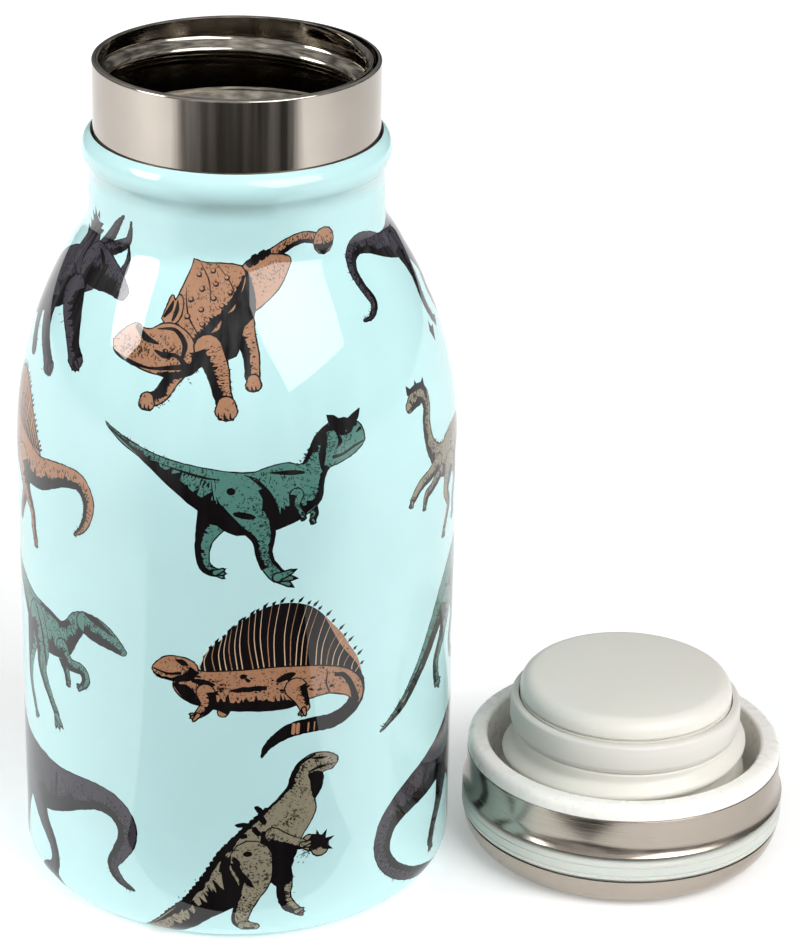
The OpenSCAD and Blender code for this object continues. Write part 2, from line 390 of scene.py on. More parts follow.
def stroke(points, grow=0.0, steps=6):
    """Outline of a limb: a smooth line through (x, y, half width) points, with round ends."""
    spine = smooth(points, steps)
    width = np.maximum(spine[:, 2], THINNEST) + grow
    left = across(spine)
    side_a = spine[:, :2] + left * width[:, None]
    side_b = spine[:, :2] - left * width[:, None]
    first = cap(spine[0, :2], -left[0], width[0])
    last = cap(spine[-1, :2], left[-1], width[-1])
    return np.concatenate([side_a, last, side_b[::-1], first])


def cap(middle, start, radius, count=5):
    """Points round the end of a stroke, turning clockwise from the direction start."""
    turns = -np.pi * np.arange(1, count + 1) / (count + 1)
    c, s = np.cos(turns), np.sin(turns)
    spokes = np.stack([c * start[0] - s * start[1], s * start[0] + c * start[1]], 1)
    return middle + spokes * radius


def blob(x, y, rx, ry=None, turn=0.0, count=12):
    """An ellipse, turned by some degrees."""
    a = np.arange(count) / count * math.tau
    u, v = rx * np.cos(a), (ry or rx) * np.sin(a)
    c, s = math.cos(math.radians(turn)), math.sin(math.radians(turn))
    return np.stack([x + c * u - s * v, y + s * u + c * v], 1)


def dash(x, y, angle, length, width):
    """A short pointed stroke that starts at (x, y)."""
    c, s = math.cos(angle), math.sin(angle)
    ends = [(0, 0), (0.35, 0.5), (1, 0), (0.35, -0.5)]
    return np.array([
        (x + u * length * c - v * width * s, y + u * length * s + v * width * c) for u, v in ends
    ])


class Creature:
    """Marks in the order in which they are printed: (ink, outline)."""

    def __init__(self, colour, seed):
        self.colour = colour
        self.marks = []
        self.chance = random.Random(seed)

    def mark(self, name, outline):
        """Prints an outline with the ink of that name."""
        self.marks.append((name, np.asarray(outline, float)))

    def line(self, *points, ink="ink", steps=6):
        """A pen line through (x, y, half width) points."""
        self.mark(ink, stroke(points, 0, steps))

    def rough(self, outline, size=0.06):
        """The outline with the unevenness of a pen line."""
        return outline + np.array([[self.chance.uniform(-size, size) for _ in "xy"] for _ in outline])

    def limb(self, points, shade=0.35, side=-1, colour=None):
        """A filled limb with an ink outline. shade is how much of the width the shadow takes,
        and side is 1 for a shadow on the left of the line and -1 for one on its right."""
        self.mark("ink", self.rough(stroke(points, LINE)))
        self.mark(colour or self.colour, stroke(points))
        if shade:
            spine = smooth(points, 16)
            left = across(spine) * side
            width = np.maximum(spine[:, 2], THINNEST)[:, None]
            self.fringe(spine[:, :2] + left * width, -left, 2 * shade * width[:, 0])

    def patch(self, points, colour=None, steps=5):
        """A filled shape with an ink outline, through points that run clockwise."""
        edge = smooth([*points, points[0]], steps)[:-1]
        out = across(np.concatenate([edge[-1:], edge, edge[:1]]))[1:-1]
        self.mark("ink", self.rough(edge + out * LINE))
        self.mark(colour or self.colour, edge)

    def shade(self, points, side, hatch=0.8):
        """A shadow along an edge through (x, y, depth) points, on its left if side is 1."""
        edge = smooth(points, 16)
        self.fringe(edge[:, :2], across(edge) * side, edge[:, 2], hatch)

    def fringe(self, edge, inwards, depth, hatch=0.8):
        """Solid ink from an edge inwards. Its far side breaks up into hatching and flecks."""
        count = len(edge)
        waves = [self.chance.random() for _ in range(count // 6 + 2)]
        slow = np.interp(np.arange(count) / 6, range(len(waves)), waves)
        fast = np.array([self.chance.random() ** 3 for _ in range(count)])
        reach = depth * (0.7 + 0.5 * slow + hatch * fast)
        inner = edge + inwards * reach[:, None]
        self.mark("ink", np.concatenate([edge - inwards * LINE / 2, inner[::-1]]))
        for _ in range(count // 2):
            i = self.chance.randrange(count)
            x, y = inner[i] + inwards[i] * depth[i] * self.chance.uniform(0.05, 0.8)
            angle = math.atan2(inwards[i][1], inwards[i][0]) + self.chance.uniform(-0.5, 0.5)
            self.mark("ink", dash(x, y, angle, 0.2 + 0.5 * self.chance.random(), 0.16))

    def ticks(self, points, count, low, high, length=1.0, width=0.16, lean=0.4):
        """Short strokes scattered over a limb. low and high are places across it, from -1 to 1."""
        spine = smooth(points, 10)
        left = across(spine)
        for _ in range(count):
            i = self.chance.randrange(2, len(spine) - 2)
            place_across = self.chance.uniform(low, high)
            x, y = spine[i, :2] + left[i] * spine[i, 2] * place_across
            angle = math.atan2(left[i][1], left[i][0]) + self.chance.uniform(-lean, lean)
            self.mark("ink", dash(x, y, angle, length * self.chance.uniform(0.4, 1), width))

    def spots(self, points, count, low, high, size):
        """Round and long spots over a limb."""
        spine = smooth(points, 10)
        left = across(spine)
        for _ in range(count):
            i = self.chance.randrange(3, len(spine) - 3)
            x, y = spine[i, :2] + left[i] * spine[i, 2] * self.chance.uniform(low, high)
            run = math.degrees(math.atan2(-left[i][0], left[i][1]))
            r = size * self.chance.uniform(0.4, 1)
            self.mark("ink", blob(x, y, r * self.chance.uniform(1, 2), r * 0.7,
                                  run + self.chance.uniform(-30, 30), 9))

    def foot(self, x, y, length, turn):
        """Three toes that point along turn degrees, each with a black claw."""
        for spread in (-28, 0, 28):
            a = math.radians(turn + spread)
            tip = (x + length * math.cos(a), y + length * math.sin(a))
            self.mark("ink", stroke([(x, y, length * 0.3), (*tip, length * 0.13)], LINE, 3))
            self.mark(self.colour, stroke([(x, y, length * 0.27), (*tip, length * 0.1)], 0, 3))
            self.mark("ink", dash(*tip, a, length * 0.5, length * 0.3))

    def paw(self, x, y, radius):
        """A broad foot with three short toes, seen from in front."""
        self.limb([(x, y + radius * 0.5, radius * 0.8), (x, y - radius * 0.3, radius)], 0)
        for k in (-1, 0, 1):
            at = x + k * radius * 0.55
            self.line((at - 0.25, y - radius * 0.5, 0.05), (at - 0.2, y - radius * 1.1, 0.16), steps=3)
            self.mark("ink", blob(at, y - radius * 1.2, radius * 0.22, radius * 0.16, 0, 8))

    def spikes(self, points, count, height, side=1, start=0.0, end=1.0):
        """A row of small spikes along one edge of a limb."""
        spine = smooth(points, 10)
        left = across(spine) * side
        for k in range(count):
            i = round((start + (end - start) * k / max(1, count - 1)) * (len(spine) - 1))
            at = spine[i, :2] + left[i] * (spine[i, 2] - 0.1)
            run = np.array([left[i][1], -left[i][0]]) * height * 0.35
            self.mark("ink", [at - run, at + left[i] * height, at + run])

    def boss(self, x, y, size=0.5):
        """A round bump, lit from the upper left."""
        self.mark("ink", blob(x, y, size, size * 0.9))
        self.mark(self.colour, blob(x - size * 0.2, y + size * 0.2, size * 0.62, size * 0.55))

    def eye(self, x, y, size=0.4):
        """A dark oval with a fleck of the coat's own colour."""
        self.mark("ink", blob(x, y, size, size * 0.75))
        self.mark(self.colour, blob(x + size * 0.2, y + size * 0.1, size * 0.3))


def armoured():
    """Low four-legged animal with bossed armour and a club on its tail, walking to the left."""
    c = Creature("brown", 1)
    tail = [(6.5, 7.6, 1.7), (8.9, 9.4, 1.05), (11.7, 11.0, 0.8), (14.6, 11.7, 0.75), (17.2, 11.2, 0.7)]
    c.limb([(-4.6, -6.6, 1.5), (-6.0, -9.2, 1.0), (-7.4, -12.0, 0.9), (-8.6, -13.0, 0.9)], 0.7, -1)
    c.paw(-9.3, -13.4, 1.0)
    c.limb(tail, 0.3, -1)
    c.ticks(tail, 40, -0.6, 0.6, 0.9)
    c.limb([(18.8, 10.6, 2.0), (19.0, 10.6, 2.0)], 0)
    c.shade([(16.8, 10.0, 0.3), (18.8, 8.7, 1.3), (21.0, 10.0, 0.3)], 1)
    c.limb([(3.0, 1.6, 1.9), (3.5, -2.2, 1.5), (4.4, -5.4, 1.0), (4.5, -8.6, 0.85)], 0.4, -1)
    c.paw(4.6, -9.6, 0.95)
    c.patch([(3.2, 3.0), (3.6, 8.0), (7.5, 9.5), (11.9, 8.9), (11.0, 6.6), (8.6, 3.8), (4.8, 1.2)])
    c.ticks([(4.5, 5.0, 3.0), (8.0, 7.0, 2.6), (11.0, 8.0, 1.0)], 60, -0.9, 0.5, 0.8, 0.12)
    for x, y, size in ((4.6, 8.4, 0.7), (5.7, 8.9, 1.0), (6.9, 9.6, 1.0), (7.9, 9.8, 0.7)):
        c.mark("ink", c.rough(blob(x, y, size, size * 0.8, 40, 8), 0.15))
    c.patch([(3.2, 7.6), (4.3, 6.8), (5.2, 3.4), (4.9, 0.6), (3.2, -1.5), (2.2, -5.4), (-1.0, -6.4),
             (-4.6, -8.2), (-6.4, -5.0), (-2.0, -2.0)], "ink")
    c.patch([(-5.1, 8.7), (-2.9, 8.3), (0.3, 8.3), (3.2, 7.9), (3.9, 6.2), (3.4, 4.4), (2.4, 3.0),
             (2.0, 1.4), (0.4, 0.4), (-0.2, -1.6), (-2.0, -2.6), (-3.0, -4.6), (-5.0, -5.6), (-7.6, -3.4),
             (-8.2, -1.4), (-7.2, 2.0), (-6.2, 5.0)])
    shell = [(-5.6, -3.2, 2.4), (-3.6, 1.4, 3.4), (-1.4, 5.2, 3.2), (1.6, 7.2, 1.2)]
    c.ticks(shell, 120, -0.95, 0.9, 0.7, 0.12, lean=1.2)
    c.shade([(3.8, 6.6, 0.3), (2.6, 3.0, 0.8), (0.2, 0.0, 0.9), (-2.4, -3.4, 1.1), (-4.8, -5.6, 0.6)], -1)
    c.line((-3.9, 8.2, 0.05), (-2.2, 5.6, 0.12), (-1.7, 2.4, 0.06))
    c.line((-0.9, 8.1, 0.04), (1.3, 5.6, 0.1), (2.3, 3.2, 0.06))
    c.line((-5.9, 4.4, 0.04), (-4.9, 0.2, 0.13), (-2.6, -3.2, 0.06))
    for x, y in ((-4.0, 6.5), (-3.2, 4.3), (-4.8, 2.6), (-3.0, 1.2), (-5.0, 0.0), (-1.0, 5.2), (-1.2, 3.0),
                 (0.8, 6.2), (-1.6, 7.2), (1.4, 4.0), (-2.6, -1.0), (0.2, 1.9)):
        c.boss(x, y, 0.5)
    c.patch([(-8.9, -0.8), (-8.4, 1.4), (-7.9, 2.9), (-7.3, 2.1), (-6.7, 3.1), (-6.0, 2.0), (-6.2, -0.4),
             (-7.6, -1.6)])
    c.line((-8.6, -0.4, 0.2), (-7.9, 0.8, 0.4), (-7.6, 2.0, 0.15))
    c.line((-7.2, -0.8, 0.2), (-6.8, 0.8, 0.35), (-6.9, 2.2, 0.1))
    c.patch([(-15.9, -5.4), (-14.6, -3.5), (-12.9, -2.2), (-11.6, -2.7), (-10.2, -2.6), (-8.6, -1.6),
             (-6.4, -1.5), (-4.2, -3.0), (-3.2, -5.4), (-3.0, -7.8), (-5.4, -9.1), (-8.2, -9.1),
             (-11.6, -8.4), (-15.0, -7.2)])
    face = [(-14.6, -5.6, 1.4), (-11.0, -5.4, 2.2), (-7.0, -5.4, 3.0), (-4.4, -5.8, 2.0)]
    c.ticks(face, 130, -0.9, 0.7, 0.8, 0.14, lean=1.0)
    c.line((-9.2, -2.4, 0.1), (-6.6, -2.2, 0.3), (-4.9, -4.2, 0.4), (-5.2, -6.8, 0.2))
    c.line((-9.0, -5.7, 0.2), (-7.6, -6.2, 0.45), (-6.0, -6.0, 0.3), (-4.6, -7.2, 0.4))
    c.line((-12.6, -2.6, 0.3), (-10.8, -4.0, 0.5), (-8.8, -4.6, 0.15))
    c.line((-15.4, -7.0, 0.12), (-12.4, -8.0, 0.3), (-9.6, -8.4, 0.2), (-7.0, -8.0, 0.35), (-4.0, -7.4, 0.5))
    c.shade([(-3.2, -5.2, 0.5), (-3.0, -7.8, 1.1), (-5.4, -9.2, 1.0), (-8.4, -9.1, 0.3)], -1)
    c.eye(-7.6, -5.5, 0.45)
    c.limb([(-1.6, -4.4, 1.9), (-0.2, -7.6, 1.5), (0.4, -10.4, 1.1), (0.9, -12.4, 1.0)], 0.35, -1)
    c.shade([(-0.8, -9.8, 0.2), (-0.3, -11.6, 1.3), (0.2, -12.8, 0.4)], 1)
    c.paw(1.1, -13.4, 1.35)
    c.ticks([(-1.8, -4.4, 2.3), (-0.2, -7.6, 1.7), (0.6, -11.4, 1.2)], 50, -0.2, 0.9, 0.7, 0.12)
    return c.marks


def predator():
    """Two-legged hunter with two brow horns, walking to the right."""
    c = Creature("teal", 2)
    c.limb([(-3.0, -2.4, 2.6), (-4.6, -6.2, 1.25), (-4.9, -9.4, 0.9), (-4.2, -11.2, 0.75),
            (-2.6, -11.8, 0.5)], 0.45, -1)
    c.foot(-3.0, -11.8, 1.3, -4)
    c.limb([(11.4, -1.2, 0.8), (12.2, -2.6, 0.5), (11.9, -3.8, 0.4)], 0.5, 1)
    c.foot(11.9, -3.8, 0.6, -80)
    c.line((16.9, 10.6, 0.7), (15.7, 11.5, 0.75), (15.0, 12.2, 0.15))
    c.line((18.6, 10.4, 0.7), (19.9, 11.2, 0.7), (20.9, 12.2, 0.15))
    c.patch([(-21.7, 9.8), (-18.5, 8.4), (-14.2, 6.9), (-9.7, 5.8), (-5.0, 5.1), (0.0, 4.5), (2.7, 4.5),
             (5.0, 5.2), (7.8, 5.7), (10.4, 5.3), (11.6, 7.3), (13.0, 9.5), (15.2, 10.9), (17.4, 11.3),
             (19.3, 10.7), (20.6, 9.9), (21.2, 8.4), (21.0, 7.0), (18.9, 5.6), (16.4, 4.7), (14.6, 4.2),
             (13.7, 2.2), (13.2, -0.6), (11.0, -2.6), (6.8, -4.5), (3.1, -5.2), (-0.4, -5.2), (-3.6, -3.0),
             (-8.1, 0.4), (-14.1, 5.1), (-19.1, 7.9)])
    spine = [(-18.6, 8.1, 0.3), (-14.0, 6.0, 1.1), (-8.8, 3.2, 2.4), (-3.6, 1.2, 3.9), (2.6, 0.0, 4.6),
             (8.2, 1.0, 4.4), (11.6, 3.6, 2.8), (13.6, 7.2, 2.2)]
    c.shade([(-21.0, 9.2, 0.15), (-17.2, 7.2, 0.4), (-14.1, 5.1, 0.9), (-8.1, 0.4, 1.9), (-3.6, -3.0, 2.8),
             (-0.4, -5.2, 3.0), (3.1, -5.2, 2.6), (6.8, -4.5, 2.4), (11.0, -2.6, 2.2)], 1, 1.0)
    c.shade([(10.6, -2.6, 0.9), (13.2, -0.6, 0.9), (13.6, 2.2, 0.8), (14.6, 4.4, 0.7)], 1)
    c.shade([(10.4, 5.3, 0.2), (11.6, 7.3, 0.8), (13.0, 9.5, 1.3), (15.0, 10.8, 0.6)], -1)
    c.spikes([(9.8, 5.3, 0.1), (11.6, 7.3, 0.1), (13.2, 9.7, 0.1)], 7, 0.5, 1)
    c.ticks(spine, 260, -0.3, 0.9, 0.9, 0.14, lean=0.9)
    c.ticks([(-14.0, 6.4, 0.8), (-7.6, 4.2, 0.9), (-3.2, 2.6, 1.2)], 16, -1, -0.4, 1.6, 0.24, lean=0.2)
    c.line((-11.6, 5.2, 0.05), (-6.0, 3.9, 0.2), (-2.6, 3.4, 0.1), (0.2, 3.6, 0.04))
    c.line((5.4, 4.4, 0.12), (8.6, 4.2, 0.4), (10.6, 4.0, 0.2))
    c.line((14.4, 9.0, 0.4), (13.7, 6.4, 0.6), (13.6, 4.4, 0.3))
    c.line((15.0, 10.2, 0.5), (16.6, 10.6, 0.8), (18.4, 10.4, 0.75), (19.8, 10.1, 0.4))
    c.line((21.0, 7.2, 0.12), (19.2, 6.7, 0.2), (17.2, 5.9, 0.22), (15.6, 5.7, 0.3))
    c.line((20.6, 9.2, 0.3), (19.9, 8.8, 0.1))
    c.line((16.0, 10.4, 0.5), (17.2, 9.6, 0.8), (18.5, 9.5, 0.65), (19.4, 9.9, 0.2))
    c.line((16.4, 9.2, 0.1), (16.9, 8.0, 0.35), (16.2, 7.0, 0.1))
    c.eye(18.0, 9.3, 0.38)
    c.ticks([(14.4, 7.6, 2.0), (17.0, 8.0, 2.6), (19.8, 8.2, 1.6)], 60, -0.9, 0.9, 0.7, 0.15, lean=1.4)
    for k in range(5):
        c.line((-3.6 + 0.6 * k, 3.0 - 0.2 * k, 0.05), (-3.0 + 0.6 * k, -0.4 - 0.3 * k, 0.14),
               (-1.4 + 0.6 * k, -3.0 - 0.2 * k, 0.05), steps=5)
    thigh = [(1.4, 0.6, 3.4), (3.0, -2.4, 2.6), (4.4, -5.2, 1.6), (4.3, -8.2, 1.2), (4.9, -10.4, 1.05),
             (6.4, -12.4, 1.1)]
    c.limb(thigh, 0.16, 1)
    c.shade([(0.6, -4.6, 0.3), (2.6, -6.6, 0.8), (3.2, -9.0, 0.6), (4.0, -11.4, 0.7)], 1)
    c.mark("teal", stroke([(0.0, 1.6, 3.0), (1.6, -0.2, 2.6)]))
    c.ticks(thigh, 110, -0.8, 0.8, 0.9, 0.13, lean=1.0)
    c.line((2.0, 4.0, 0.08), (4.8, 1.6, 0.35), (6.2, -2.0, 0.55), (6.0, -4.4, 0.4))
    c.foot(6.4, -12.8, 2.3, -8)
    c.mark("ink", blob(-0.6, 1.6, 0.7, 0.6))
    c.mark("ink", blob(1.4, -2.3, 1.8, 0.55, -12))
    c.limb([(9.4, 0.6, 1.0), (9.2, -1.2, 0.6), (10.2, -2.8, 0.45)], 0.4, -1)
    c.foot(10.2, -3.0, 0.6, -60)
    return c.marks


def sailback():
    """Low sprawling animal with a ribbed sail, walking to the left. Its tail curls back under it."""
    c = Creature("brown", 3)
    tail = [(16.3, -3.6, 1.3), (16.4, -6.0, 1.15), (15.0, -7.9, 1.1), (12.2, -9.2, 1.1), (8.8, -9.3, 1.1),
            (5.4, -9.7, 1.0), (3.2, -10.8, 0.75), (1.6, -12.2, 0.45), (0.7, -13.9, 0.06)]
    crest = [(-9.2, 0.6), (-7.7, 4.2), (-5.4, 6.5), (-3.5, 8.6), (-1.5, 10.1), (1.1, 11.6), (4.2, 12.2),
             (7.4, 11.6), (9.8, 10.0), (12.4, 6.9), (14.6, 3.7), (16.5, 0.6), (17.4, -2.6)]
    edge = smooth(crest, 8)
    base = smooth([(-9.0, 0.2), (-3.0, 0.8), (3.5, 1.0), (10.0, 0.2), (16.8, -3.4)], 8)
    c.mark("ink", [*edge, *base[::-1]])
    patch = [edge[i] for i in range(66, 95)]
    bow = [p + np.array([-0.9, -0.5]) * math.sin(math.pi * i / 28) for i, p in enumerate(patch)]
    c.mark("brown", [*patch, *bow[::-1]])
    for k in range(1, 27):
        u = k / 27
        foot = base[round(u * (len(base) - 1))]
        tip = edge[round((u * 0.96 + 0.02) * (len(edge) - 1))]
        bow = (foot + tip) / 2 + np.array([-0.5, 0.2])
        c.line((*foot, 0.09), (*bow, 0.07), (*tip, 0.03), ink="cream" if k % 3 else "brown", steps=4)
        c.mark("ink", dash(*tip, math.radians(62 - 30 * u), 1.0 + 0.5 * (k % 2), 0.55))
    c.line((11.0, 8.4, 0.1), (13.4, 5.4, 0.25), (15.4, 1.8, 0.2), ink="brown")
    c.limb([(-4.6, -4.6, 1.0), (-5.4, -6.2, 0.7)], 0.9, 1)
    c.limb(tail, 0, colour="ink")
    for x, width in ((5.6, 0.3), (6.3, 0.3), (8.0, 0.14), (9.0, 0.1)):
        c.line((x, -10.3, width), (x + 0.1, -8.9, width), ink="brown", steps=3)
    c.patch([(-9.8, 1.6), (-8.7, 0.7), (-3.0, 1.0), (3.5, 1.3), (10.0, 0.6), (14.4, -0.8), (16.8, -3.0),
             (17.5, -5.4), (16.6, -7.2), (14.7, -5.4), (11.6, -4.3), (8.2, -4.6), (5.8, -5.5), (3.1, -5.9),
             (-1.9, -5.8), (-6.5, -5.6), (-10.8, -4.5), (-13.0, -2.4), (-12.4, -0.6)])
    body = [(-10.6, -1.2, 1.8), (-5.0, -1.9, 2.6), (1.0, -1.9, 2.8), (8.0, -1.8, 2.4), (14.0, -2.8, 2.0)]
    c.shade([(-13.2, -1.8, 0.8), (-10.8, -4.5, 1.2), (-6.5, -5.6, 1.2), (-1.9, -5.8, 1.5), (3.1, -5.9, 1.5),
             (5.8, -5.5, 1.0), (8.2, -4.6, 0.5)], 1, 1.0)
    c.ticks(body, 190, -0.9, 0.9, 0.6, 0.14, lean=1.5)
    c.spots(body, 26, -0.6, 0.6, 0.36)
    for x, y, rx, ry, turn in ((-1.4, -2.2, 3.0, 0.5, 4), (-8.4, -1.2, 1.9, 0.5, -10),
                               (-7.4, -2.9, 1.4, 0.35, 12), (4.4, -0.5, 1.7, 0.6, 22),
                               (-10.6, -2.8, 1.6, 0.6, -40), (-2.2, 0.0, 0.6, 0.4, 0)):
        c.mark("ink", c.rough(blob(x, y, rx, ry, turn, 20), 0.12))
    c.line((11.2, -0.6, 0.1), (11.0, -2.6, 0.14), (11.6, -4.2, 0.08))
    c.line((12.2, -0.9, 0.08), (14.4, -2.2, 0.4), (15.6, -4.4, 0.5), (16.2, -6.6, 0.7))
    c.line((12.6, -1.4, 0.3), (13.8, -1.6, 0.4), (14.8, -2.4, 0.2))
    c.patch([(-9.6, 1.9), (-11.6, 2.8), (-14.3, 2.6), (-16.3, 0.8), (-16.2, -0.2), (-15.4, -0.9),
             (-13.2, -1.2), (-10.6, -0.9), (-9.2, 0.4)][::-1])
    c.shade([(-16.2, -0.3, 0.1), (-15.2, -1.0, 0.3), (-13.0, -1.2, 0.4), (-10.4, -0.9, 1.3),
             (-9.2, 0.6, 1.2)], 1)
    c.line((-16.3, 0.4, 0.12), (-14.0, -0.2, 0.2), (-12.0, 0.1, 0.25))
    c.line((-12.6, 2.3, 0.15), (-11.6, 2.0, 0.5), (-10.8, 1.6, 0.2))
    c.ticks([(-15.4, 0.8, 1.0), (-12.6, 0.8, 1.6), (-10.0, 0.6, 1.2)], 40, -0.9, 0.9, 0.5, 0.12, lean=1.5)
    c.limb([(-8.0, -2.9, 1.4), (-7.7, -4.9, 1.0), (-9.0, -6.6, 0.6)], 0.4, 1)
    c.foot(-9.2, -6.9, 1.1, 205)
    c.limb([(6.0, -2.6, 1.7), (6.9, -4.6, 1.0), (7.4, -6.0, 0.8)], 0.3, 1)
    c.foot(7.3, -6.4, 1.0, 255)
    return c.marks


def grazer():
    """Plant eater that stands up on two legs, facing right, with bumps down its back."""
    c = Creature("olive", 4)
    c.limb([(5.8, -4.0, 2.0), (7.0, -7.4, 1.25), (7.0, -10.2, 0.95), (7.8, -12.0, 0.9), (9.4, -13.2, 0.5)],
           0.5, -1)
    c.foot(9.0, -13.4, 1.1, -6)
    c.limb([(11.0, -0.6, 0.8), (12.6, -1.6, 1.3), (12.9, -2.4, 1.4)], 1.0, 1)
    for turn in (100, 62, 20, -30):
        c.mark("ink", dash(12.8, -1.8, math.radians(turn), 2.8, 1.2))
    ridge = [(-15.0, -17.4, 0.1), (-11.7, -13.8, 0.1), (-8.7, -10.9, 0.1), (-6.0, -6.9, 0.1),
             (-3.2, -2.2, 0.1), (-0.3, 1.1, 0.1), (2.6, 4.1, 0.1), (5.8, 7.1, 0.1)]
    for spot in smooth(ridge, 5)[2:-3]:
        c.mark("ink", c.rough(blob(*spot[:2], 0.62, 0.5, 45, 10), 0.1))
    c.patch([(-17.2, -19.3), (-14.6, -16.6), (-11.7, -13.7), (-8.7, -10.9), (-6.0, -6.9), (-3.2, -2.2),
             (-0.3, 1.1), (2.6, 4.1), (5.8, 7.1), (7.5, 9.2), (8.2, 11.4), (9.4, 13.3), (11.6, 14.5),
             (14.2, 14.2), (15.8, 13.0), (15.0, 11.5), (13.2, 11.0), (13.0, 8.6), (11.9, 6.6), (12.1, 5.0),
             (11.5, 3.1), (9.8, 0.2), (8.6, -2.4), (8.0, -5.0), (5.4, -7.0), (3.0, -9.0), (-1.0, -11.6),
             (-4.6, -13.6), (-8.2, -16.4), (-12.2, -19.2)])
    spine = [(-13.6, -17.6, 1.2), (-8.6, -13.4, 2.0), (-3.4, -8.6, 3.4), (1.2, -3.0, 4.4), (5.6, 1.6, 4.4),
             (9.2, 6.0, 3.0), (10.8, 11.0, 2.2)]
    c.shade([(-12.2, -19.2, 0.8), (-8.2, -16.4, 1.8), (-4.6, -13.6, 2.4), (-1.0, -11.6, 3.2),
             (3.0, -9.0, 2.4)], 1, 1.0)
    c.patch([(3.6, 1.6), (5.4, 1.0), (6.6, -0.6), (9.6, -0.6), (8.8, -2.6), (8.0, -5.0), (8.2, -7.4),
             (6.0, -8.2), (4.6, -6.4), (5.2, -3.6), (3.4, -1.4)], "ink")
    c.shade([(-15.6, -17.8, 0.1), (-8.7, -10.9, 0.7), (-3.2, -2.2, 0.8), (2.6, 4.1, 0.4), (5.8, 7.1, 0.3),
             (7.5, 9.2, 0.5), (8.2, 11.4, 0.8), (9.6, 13.4, 0.5), (12.0, 14.5, 0.2)], -1)
    c.patch([(11.0, 11.0), (12.4, 11.2), (13.2, 10.6), (13.0, 8.6), (12.0, 6.8), (11.6, 8.0), (11.4, 9.6)],
            "ink")
    c.ticks(spine, 320, -0.9, 0.9, 0.5, 0.12, lean=1.5)
    for x, y, rx, ry, turn in ((0.4, 3.0, 1.2, 0.45, 0), (3.6, 3.8, 0.5, 1.0, 20), (3.0, 5.6, 0.9, 0.5, -40),
                               (-2.6, -4.0, 1.6, 0.5, 70), (0.6, 1.0, 0.6, 0.5, 0),
                               (-8.2, -12.0, 1.4, 0.4, 48), (2.6, 1.8, 1.1, 0.5, -55),
                               (1.0, -0.2, 0.5, 0.4, 0)):
        c.mark("ink", c.rough(blob(x, y, rx, ry, turn, 16), 0.1))
    c.line((11.0, 11.4, 0.12), (12.6, 12.0, 0.25), (15.4, 12.2, 0.08))
    c.line((11.4, 13.8, 0.1), (12.8, 13.6, 0.25), (14.0, 13.6, 0.1))
    c.eye(12.2, 13.2, 0.32)
    c.line((-0.6, -1.6, 0.2), (-2.2, -4.6, 0.6), (-1.4, -8.0, 1.2), (-0.6, -10.6, 1.2))
    thigh = [(1.8, -3.2, 3.3), (2.4, -6.6, 2.5), (1.4, -9.6, 1.7), (0.4, -12.2, 1.3), (0.0, -14.2, 1.15),
             (0.8, -15.2, 0.9)]
    c.limb(thigh, 0.14, -1)
    c.limb([(0.6, -15.3, 0.9), (2.4, -15.6, 0.6)], 0.3, -1)
    c.ticks(thigh, 120, -0.8, 0.8, 0.5, 0.12, lean=1.5)
    c.mark("ink", c.rough(blob(0.8, -6.6, 2.2, 0.5, -52, 18), 0.1))
    c.mark("ink", c.rough(blob(-0.6, -3.6, 1.1, 0.5, -62, 14), 0.1))
    c.mark("ink", blob(1.2, -2.2, 0.75, 0.5))
    c.ticks([(4.4, -2.0, 0.3), (4.9, -4.4, 0.3)], 10, -1, 1, 1.0, 0.2)
    c.limb([(5.2, 1.0, 1.2), (7.4, -0.2, 0.95), (9.8, -1.2, 0.8)], 0.25, -1)
    c.foot(9.9, -1.4, 1.4, -14)
    return c.marks


